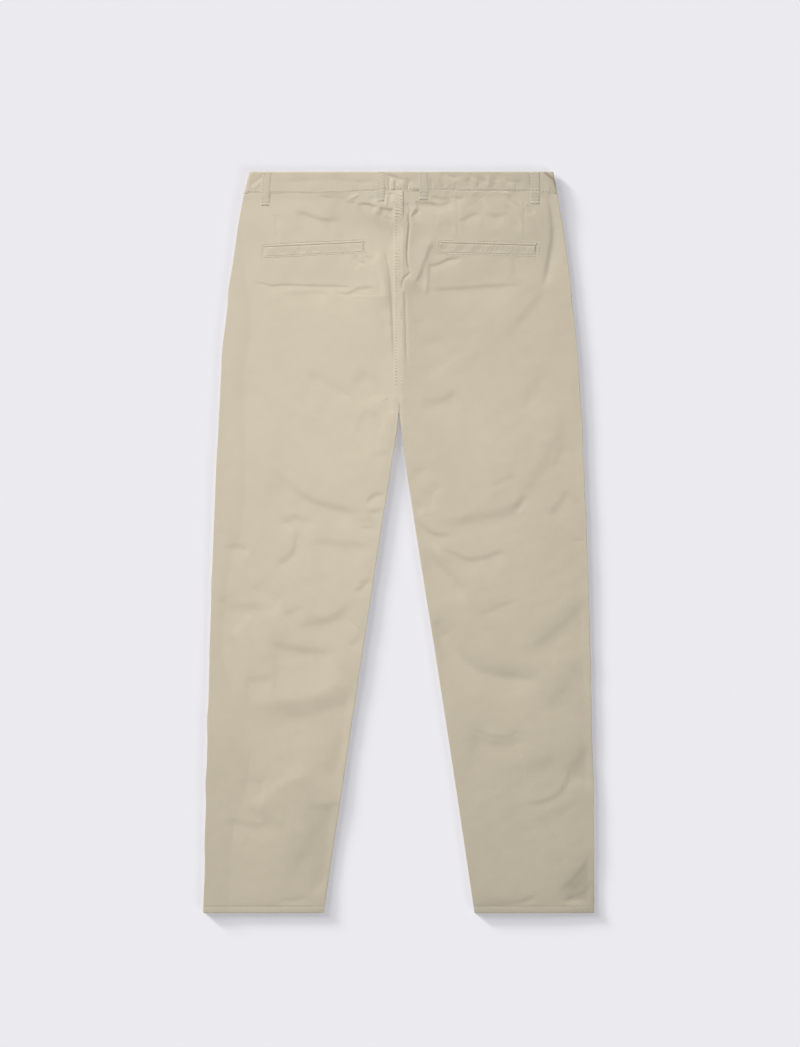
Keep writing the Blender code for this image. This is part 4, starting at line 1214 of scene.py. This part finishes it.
class TROUSERS_OT_waistband(bpy.types.Operator):
    """Build the doubled band round the waist, lapped at the front"""

    bl_idname = "trousers.waistband"
    bl_label = "Waistband"

    def execute(self, context):
        edge = np.array([0.0, 0.25, 0.6, 1.1])
        rows = np.concatenate([edge, np.linspace(2.2, BAND_DEPTH - 2.2, 22), BAND_DEPTH - edge[::-1]])
        drop = band_edges(rows, BAND_DEPTH)
        route = band_stations()
        grid = np.zeros((len(rows), len(route), 3))
        for i, (side, kind, value, z, across, up) in enumerate(route):
            down = rows
            if kind == "x":
                x = np.full(len(rows), value)
            elif kind == "edge":
                x, z = band_end(side, value, rows)
            else:
                x = side_x(side, rows) * value
                down = rows * seam_down(x) / BAND_DEPTH
            z = band_z(x, down) if kind == "share" else z - up * drop
            grid[:, i] = np.stack([x - across * drop, TOP_Y - down, z], axis=1)
        ends = [i for i, row in enumerate(route) if row[1] == "share"]
        for i in (ends[0], ends[-1]):
            for j in [*range(i - 3, i + 4)] * 4:
                grid[:, j, 2] = (grid[:, j - 1, 2] + 2 * grid[:, j, 2] + grid[:, j + 1, 2]) / 4
        lay_sheet(
            "waistband", grid[:, ::-1], partial(straight, 0), BAND_THICKNESS, (3, 2, 0), "band_cloth",
            flat=(0.93, 0.031), rests_on=["back_left_cloth", "back_right_cloth"],
        )
        return {"FINISHED"}


def loop_middle(loop, down):
    """x of a belt loop's middle line."""
    return loop.middle + loop.lean * down / loop.reach


def loop_z(loop, x, down):
    """Height of a belt loop's outer face: over the band, standing a little off it, tacked at both ends."""
    across = (x - loop_middle(loop, down)) / (loop.width / 2)
    share = np.clip(down / loop.reach, 0, 1)
    stand = 0.2 * np.sin(math.pi * np.clip(share / 0.82, 0, 1)) ** 0.6
    if loop.face > 0:
        band = BAND_TOP - 0.1
        below = cloth_z(-1 if loop.middle < 0 else 1, x, down) + 0.1
        rest = band + (below - band) * ease((down - float(seam_down(loop.middle)) + 3) / 8)
    else:
        rest = under_z(np.maximum(down, BAND_DEPTH))
    swell = 0.12 * bell(across, 0.55) - 0.35 * ease((np.abs(across) - 0.84) / 0.16)
    rows = -0.10 * bell(np.abs(across) - LOOP_ROW, 0.1)
    tack = -0.25 * bell(down - loop.reach + 3.2, 1.3)
    ends = -0.55 * ease((down - loop.reach + 1.6) / 1.6) - 0.6 * (1 - ease(down / 1.0))
    ripple = 0.09 * puckers(down, 0 * down, 5.6, 4.0, int(abs(loop.middle)))
    return rest + loop.face * (0.4 + stand + swell + rows + tack + ends + ripple)


class TROUSERS_OT_belt_loops(bpy.types.Operator):
    """Build the belt loops: four over the back of the band and two under its front"""

    bl_idname = "trousers.belt_loops"
    bl_label = "Belt loops"

    def execute(self, context):
        fine = np.array([0.0, 0.3, 0.7, 1.2])
        across = np.sin(np.linspace(-math.pi / 2, math.pi / 2, 23))
        for loop in LOOPS:
            down = np.concatenate([fine, np.linspace(2.2, loop.reach - 2.4, 34), loop.reach - fine[::-1]])
            wander = 0.25 * np.sin(down / 7.0 + loop.middle)[:, None]
            x = loop_middle(loop, down)[:, None] + across[None, :] * loop.width / 2
            grid = as_grid(x + wander, down, loop_z(loop, x, down[:, None]))
            lay_sheet(
                loop.name, grid[:, ::loop.face], partial(straight, 0), STRIP_THICKNESS, (2, 2, 0),
                "band_cloth", flat=(loop.width * MM, loop.reach * MM), rests_on=["waistband_cloth"],
            )
        return {"FINISHED"}


def welt_z(welt, run, below, x, down):
    """Height of a welt's outer face: the panel's turned lip, the slit of the mouth and the folded strip."""
    length = mouth_run(welt)[0]
    lip = 0.5 * ease((below + WELT_LIP) / 0.7) * ease(-below / 0.5)
    strip = ease((below - 0.4) / 0.7) * (0.8 - 0.55 * ease((below - 2) / 10))
    strip = strip * ease((WELT_DEPTH - below) / 0.8) * ease((run - 1.9) / 0.7)
    slit = 0.55 * bell(below - 0.1, 0.45) * ease((length - run) / 4)
    slit = slit + 0.5 * bell(run - 1.6, 0.45) * ease((below + 0.5) / 1.0)
    ends = ease(run / 0.8) * ease((length - run) / 0.8)
    bars = 0.12 * puckers(run - 0.5 * below, below - 8.0, 7.4, 9.0, 91 + welt.side)
    bars = bars + 0.45 * puckers(run - 0.4 * below, below - 7.0, 27.0, 9.0, 93 + welt.side)
    bars = bars * ease(below / 1.5) * ease((WELT_DEPTH - 1.2 - below) / 3)
    return cloth_z(welt.side, x, down) + 0.05 + ends * (lip + strip + bars - slit)


class TROUSERS_OT_pocket_welts(bpy.types.Operator):
    """Build the welts of the two back pockets"""

    bl_idname = "trousers.pocket_welts"
    bl_label = "Pocket welts"

    def execute(self, context):
        edge = np.linspace(0.0, 2.4, 7)
        lip = np.array([-WELT_LIP, -2.6, -2.2, -1.6, -1.0, -0.6, -0.3, 0.0, 0.3, 0.6, 0.9, 1.3, 1.8])
        rest = np.linspace(2.6, WELT_DEPTH - 1.2, 11)
        below = np.concatenate([lip, rest, WELT_DEPTH - edge[2::-1]])[:, None]
        for welt in WELTS:
            length = mouth_run(welt)[0]
            run = np.concatenate([edge, np.linspace(3.0, length - 3.0, 136), length - edge[::-1]])[None, :]
            x, down = on_pocket(welt, run, below)
            grid = as_grid(x, down, welt_z(welt, run, below, x, down))
            lay_sheet(
                welt.name, grid[:, ::-welt.side], partial(straight, welt.outer_x), STRIP_THICKNESS, (3, 2, 0),
                flat=(length * MM, WELT_DEPTH * MM), rests_on=[welt.name.replace("welt", "back") + "_cloth"],
            )
        return {"FINISHED"}


class TROUSERS_OT_waist_button(bpy.types.Operator):
    """Give the waist button its horn finish"""

    bl_idname = "trousers.waist_button"
    bl_label = "Waist button"

    def execute(self, context):
        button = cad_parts["waist_button"]
        button.data.materials.clear()
        button.data.materials.append(horn_finish())
        return {"FINISHED"}


# ---------------------------------------------------------------- stitching


def stitch_tree():
    """Lays stitches along each line of a mesh of edges, with a dark bead between each two: painted shade for
    the needle hole.
    """
    tree = bpy.data.node_groups.new("Stitch rows", "GeometryNodeTree")
    new_socket = partial(tree.interface.new_socket, in_out="INPUT")
    new_socket("Geometry", socket_type="NodeSocketGeometry")
    for label in ("Half pitch", "Length", "Thickness", "Hole"):
        new_socket(label, socket_type="NodeSocketFloat").subtype = "DISTANCE"
    new_socket("Seed", socket_type="NodeSocketInt")
    new_socket("Thread", socket_type="NodeSocketMaterial")
    new_socket("Dent", socket_type="NodeSocketMaterial")
    new_socket("Geometry", in_out="OUTPUT", socket_type="NodeSocketGeometry")

    add = partial(add_node, tree)
    given = add("NodeGroupInput").outputs
    lines = add("GeometryNodeMeshToCurve", {"Mesh": given["Geometry"]}).outputs["Curve"]
    evenly = add("GeometryNodeCurveToPoints", {"Curve": lines, "Length": given["Half pitch"]}, mode="LENGTH")
    tangent = evenly.outputs["Tangent"]
    turn = add("FunctionNodeAlignRotationToVector", {"Vector": tangent}, axis="X", pivot_axis="AUTO")
    index = add("GeometryNodeInputIndex").outputs["Index"]
    odd = add("ShaderNodeMath", {0: index, 1: 2.0}, operation="MODULO").outputs["Value"]
    even = add("ShaderNodeMath", {0: 1.0, 1: odd}, operation="SUBTRACT").outputs["Value"]
    slip = add(
        "FunctionNodeRandomValue",
        {"Min": (0.86, 0.85, 0.85), "Max": (1.06, 1.1, 1.1), "Seed": given["Seed"]}, data_type="FLOAT_VECTOR",
    )
    both = add("GeometryNodeJoinGeometry")

    def laid(long, wide, high, chosen, material, segments):
        bead = add("GeometryNodeMeshUVSphere", {"Segments": segments, "Rings": 4, "Radius": 0.5})
        shape = add("ShaderNodeCombineXYZ", {"X": given[long], "Y": given[wide], "Z": high})
        sized_bead = add("GeometryNodeTransform", {
            "Geometry": bead.outputs["Mesh"], "Scale": shape.outputs["Vector"],
        })
        row = add("GeometryNodeInstanceOnPoints", {
            "Points": evenly.outputs["Points"], "Selection": chosen,
            "Instance": sized_bead.outputs["Geometry"],
            "Rotation": turn.outputs["Rotation"], "Scale": slip.outputs["Value"],
        })
        real = add("GeometryNodeRealizeInstances", {"Geometry": row.outputs["Instances"]})
        finish = add("GeometryNodeSetMaterial", {
            "Geometry": real.outputs["Geometry"], "Material": given[material],
        })
        tree.links.new(finish.outputs["Geometry"], both.inputs["Geometry"])

    laid("Length", "Thickness", given["Thickness"], even, "Thread", 6)
    laid("Hole", "Hole", 0.3 * MM, odd, "Dent", 10)
    smooth = add("GeometryNodeSetShadeSmooth", {"Geometry": both.outputs["Geometry"]})
    add("NodeGroupOutput", {"Geometry": smooth.outputs["Geometry"]})
    return tree


def sew(name, lines, tree, pitch=None, length=None):
    """A piece of stitches along lines of points in mm. A pitch of its own is for stitches without holes."""
    thread = bpy.context.scene.trousers_stitching
    points, edges = [], []
    for line in lines:
        edges += [(len(points) + i, len(points) + i + 1) for i in range(len(line) - 1)]
        points += (np.asarray(line) * MM).tolist()
    guide = bpy.data.meshes.new(f"{name}_lines")
    guide.from_pydata(points, edges, [])
    rows = bpy.data.objects.new(f"{name}_lines", guide)
    bpy.context.scene.collection.objects.link(rows)
    modifier = rows.modifiers.new("Stitches", "NODES")
    modifier.node_group = tree
    values = {
        "Half pitch": (pitch or thread.pitch) / 2,
        "Length": length or thread.length,
        "Thickness": thread.thickness,
        "Hole": thread.hole if pitch is None else 0.3 * MM,
        "Seed": len(points),
        "Thread": thread_finish("thread", tuple(thread.colour)),
        # The needle holes get a dark brown finish: painted shade where the dent would be shaded.
        "Dent": thread_finish("needle_hole", (0.15, 0.125, 0.09, 1.0)),
    }
    for item in tree.interface.items_tree:
        if item.in_out == "INPUT" and item.name in values:
            modifier[item.identifier] = values[item.name]
    rows.update_tag()
    bpy.context.view_layer.update()
    mesh = bpy.data.meshes.new_from_object(rows.evaluated_get(bpy.context.evaluated_depsgraph_get()))
    bpy.data.objects.remove(rows)
    mesh.name = name
    link_piece(name, mesh)


def on_surface(xs, downs, height, lift=0.05):
    """A line of points in mm on a surface, a little proud of it. One of the two places may be one value."""
    xs, downs = np.broadcast_arrays(np.asarray(xs, float), np.asarray(downs, float))
    return np.stack([xs, TOP_Y - downs, height(xs, downs) + lift], axis=1)


def steps(start, end, step=1.0):
    """Places from start to end, about a step apart."""
    return np.linspace(start, end, max(2, int(abs(end - start) / step) + 1))


def band_lines():
    """The row above the band's seam, in stretches between the loops."""
    xs = steps(float(side_x(-1, BAND_DEPTH)) + 4, float(side_x(1, BAND_DEPTH)) - 6)
    clear = np.ones(len(xs), bool)
    for loop in LOOPS:
        if loop.face > 0:
            clear &= np.abs(xs - loop_middle(loop, BAND_DEPTH)) > loop.width / 2 + 0.4
    for group in np.split(np.arange(len(xs)), np.where(np.diff(clear.astype(int)) != 0)[0] + 1):
        if clear[group[0]] and len(group) > 6:
            yield on_surface(xs[group], seam_down(xs[group]) - BAND_ROW, band_z)


def fell_lines():
    """The two rows of the felled centre-back seam."""
    for at in FELL_ROWS:
        yield on_surface(at, steps(BAND_DEPTH + 2, CROTCH - 40), partial(back_z, -1))


def pocket_lines():
    """The frame of stitches round each back pocket's welt."""
    for welt in WELTS:
        outer, inner = WELT_ENDS[0], mouth_run(welt)[0] + WELT_ENDS[1]
        frame_rows = [(steps(outer, inner), row) for row in WELT_ROWS]
        frame_rows += [(run, steps(*WELT_ROWS)) for run in (outer, inner)]
        for run, below in frame_rows:
            yield on_surface(*on_pocket(welt, run, below), partial(back_z, welt.side))


def hem_lines():
    """The row of each hem, on the back and on the front."""
    down = LENGTH - HEM_TURN
    for side, _ in SIDES:
        xs = steps(float(inseam_x(side, down)) + side * 3, float(side_x(side, down)) - side * 3)
        yield on_surface(xs, down, partial(back_z, side))
        yield on_surface(xs, down, partial(front_z, side), 0.12)


def loop_lines():
    """The rows along both edges of each belt loop."""
    for loop in LOOPS:
        downs = steps(1.5, loop.reach - 1.5)
        for hand in (-LOOP_ROW, LOOP_ROW):
            wander = 0.25 * np.sin(downs / 7.0 + loop.middle)
            xs = loop_middle(loop, downs) + hand * loop.width / 2 + wander
            yield on_surface(xs, downs, partial(loop_z, loop), 0.03 * loop.face)


def tack_lines():
    """Bar tacks: close stitches across each loop's lower end."""
    for loop in LOOPS:
        for down in (loop.reach - 2.6, loop.reach - 3.7):
            half, middle = loop.width / 2 - 1.6, loop_middle(loop, down)
            xs = steps(middle - half, middle + half, 0.5)
            yield on_surface(xs, down, partial(loop_z, loop), 0.05 * loop.face)


def front_lines():
    """The fly's curved row and the rows beside the front pocket mouths."""
    line = smooth_line(FLY_ROW, 20)
    yield on_surface(line[:, 0], line[:, 1], partial(front_z, -1), 0.12)
    for side, _ in SIDES:
        downs = steps(BAND_DEPTH + 3, FACING_END - 6)
        for inset in (1.6, 7.0):
            yield on_surface(mouth_x(side, downs) - side * inset, downs, partial(front_z, side), 0.12)


class TROUSERS_OT_stitching(bpy.types.Operator):
    """Sew the topstitching of the band, fell, pockets, loops, hems, fly and front pockets"""

    bl_idname = "trousers.stitching"
    bl_label = "Stitching"

    def execute(self, context):
        tree = stitch_tree()
        sew("stitches_band", band_lines(), tree)
        sew("stitches_fell", fell_lines(), tree)
        sew("stitches_pockets", pocket_lines(), tree)
        sew("stitches_hems", hem_lines(), tree)
        sew("stitches_loops", loop_lines(), tree)
        sew("stitches_tacks", tack_lines(), tree, 1.1 * MM, 1.0 * MM)
        sew("stitches_front", front_lines(), tree)
        return {"FINISHED"}


# ---------------------------------------------------------------- studio


def linked_collection(name, floor):
    """A collection of the floor alone, for a light to reach or to leave out."""
    collection = bpy.data.collections.new(name)
    collection.objects.link(floor)
    return collection


def add_lamp(name, kind, strength, receivers):
    """A lamp at the origin that lights what its receivers say."""
    light = bpy.data.lights.new(name, kind)
    light.energy = strength
    lamp = bpy.data.objects.new(name, light)
    lamp.light_linking.receiver_collection = receivers
    bpy.context.scene.collection.objects.link(lamp)
    return lamp


class TROUSERS_OT_studio(bpy.types.Operator):
    """Set the floor, the soft lights and the camera"""

    bl_idname = "trousers.studio"
    bl_label = "Studio"

    def execute(self, context):
        studio = context.scene.trousers_studio
        self.lights(context.scene, studio, self.floor(context.scene, studio))
        self.camera(context.scene, studio)
        context.scene.view_settings.view_transform = "Standard"
        return {"FINISHED"}

    def floor(self, scene, studio):
        mesh = bpy.data.meshes.new("floor")
        ends = (-FLOOR_REACH, FLOOR_REACH)
        corners = [(x, y, FLOOR_Z) for x, y in zip(ends + ends[::-1], np.repeat(ends, 2).tolist())]
        mesh.from_pydata(corners, [], [(0, 1, 2, 3)])
        look = {"Base Color": tuple(studio.floor), "Roughness": 0.9, "Specular IOR Level": 0.0}
        mesh.materials.append(new_material("floor_paint", look)[0])
        floor = bpy.data.objects.new("floor", mesh)
        scene.collection.objects.link(floor)
        return floor

    def lights(self, scene, studio, floor):
        """An even fill, a window, a softbox and a sky for the cloth, and four suns for the floor alone."""
        scene.world = bpy.data.worlds.new("studio")
        scene.world.use_nodes = True
        tree = scene.world.node_tree
        feed(tree, tree.nodes["Background"], {"Color": (1, 1, 1, 1), "Strength": studio.fill})
        only_floor, not_floor = linked_collection("lit_floor", floor), linked_collection("unlit_floor", floor)
        not_floor.collection_objects[0].light_linking.link_state = "EXCLUDE"

        for name, strength, size, place in (
            ("window", studio.window, 1.8, Vector((-2.6, 4.57, 2.45))),
            ("softbox", studio.softbox, 0.8, Vector((-0.02, 0.1, 1.0))),
        ):
            box = add_lamp(name, "AREA", strength, not_floor)
            box.data.shape = "DISK"
            box.data.size = size
            box.location = place
            box.rotation_euler = (LAMP_AIM - place).to_track_quat("-Z", "Y").to_euler()

        low, azimuth = studio.low_light, studio.low_azimuth
        for name, strength, spread, tilt, turn, receivers in (
            ("low_sun", low, studio.low_spread, studio.low_height - 90, azimuth, only_floor),
            ("mid_sun", 0.36 * low, 22, -64, azimuth, only_floor),
            ("back_sun", 0.2 * low, 24, -63, azimuth + 180, only_floor),
            ("top_sun", studio.top_light, 10, 0, 0, only_floor),
            ("sky", studio.sky_light, 150, 0, 0, not_floor),
        ):
            sun = add_lamp(name, "SUN", strength, receivers)
            sun.data.angle = math.radians(spread)
            sun.rotation_euler = (math.radians(tilt), 0, math.radians(turn))

    def camera(self, scene, studio):
        camera = bpy.data.cameras.new("camera")
        camera.sensor_width = 36.0
        camera.lens = camera.sensor_width * studio.camera_height / studio.frame_height
        view = bpy.data.objects.new("camera", camera)
        view.location = (*VIEW_CENTRE, studio.camera_height)
        scene.collection.objects.link(view)
        scene.camera = view


class TROUSERS_PT_panel(bpy.types.Panel):
    """Lists the steps that dress the trousers"""

    bl_label = "Chino trousers"
    bl_idname = "TROUSERS_PT_panel"
    bl_space_type = "VIEW_3D"
    bl_region_type = "UI"
    bl_category = "Trousers"

    def draw(self, context):
        layout = self.layout
        for group, _ in SETTINGS:
            settings = getattr(context.scene, group)
            box = layout.box()
            for name in settings.__annotations__:
                box.prop(settings, name)
        for operator in OPERATORS:
            layout.operator(operator.bl_idname)


OPERATORS = (
    TROUSERS_OT_front_panels,
    TROUSERS_OT_pocket_facings,
    TROUSERS_OT_back_panels,
    TROUSERS_OT_waistband,
    TROUSERS_OT_belt_loops,
    TROUSERS_OT_pocket_welts,
    TROUSERS_OT_waist_button,
    TROUSERS_OT_stitching,
    TROUSERS_OT_studio,
)
SETTINGS = (
    ("trousers_cloth", TROUSERS_PG_cloth),
    ("trousers_stitching", TROUSERS_PG_stitching),
    ("trousers_studio", TROUSERS_PG_studio),
)


def register():
    for name, group in SETTINGS:
        bpy.utils.register_class(group)
        setattr(bpy.types.Scene, name, PointerProperty(type=group))
    for operator in OPERATORS:
        bpy.utils.register_class(operator)
    bpy.utils.register_class(TROUSERS_PT_panel)


def unregister():
    bpy.utils.unregister_class(TROUSERS_PT_panel)
    for operator in reversed(OPERATORS):
        bpy.utils.unregister_class(operator)
    for name, group in reversed(SETTINGS):
        delattr(bpy.types.Scene, name)
        bpy.utils.unregister_class(group)


def main():
    register()
    for operator in OPERATORS:
        family, name = operator.bl_idname.split(".")
        getattr(getattr(bpy.ops, family), name)()


if __name__ == "__main__":
    main()
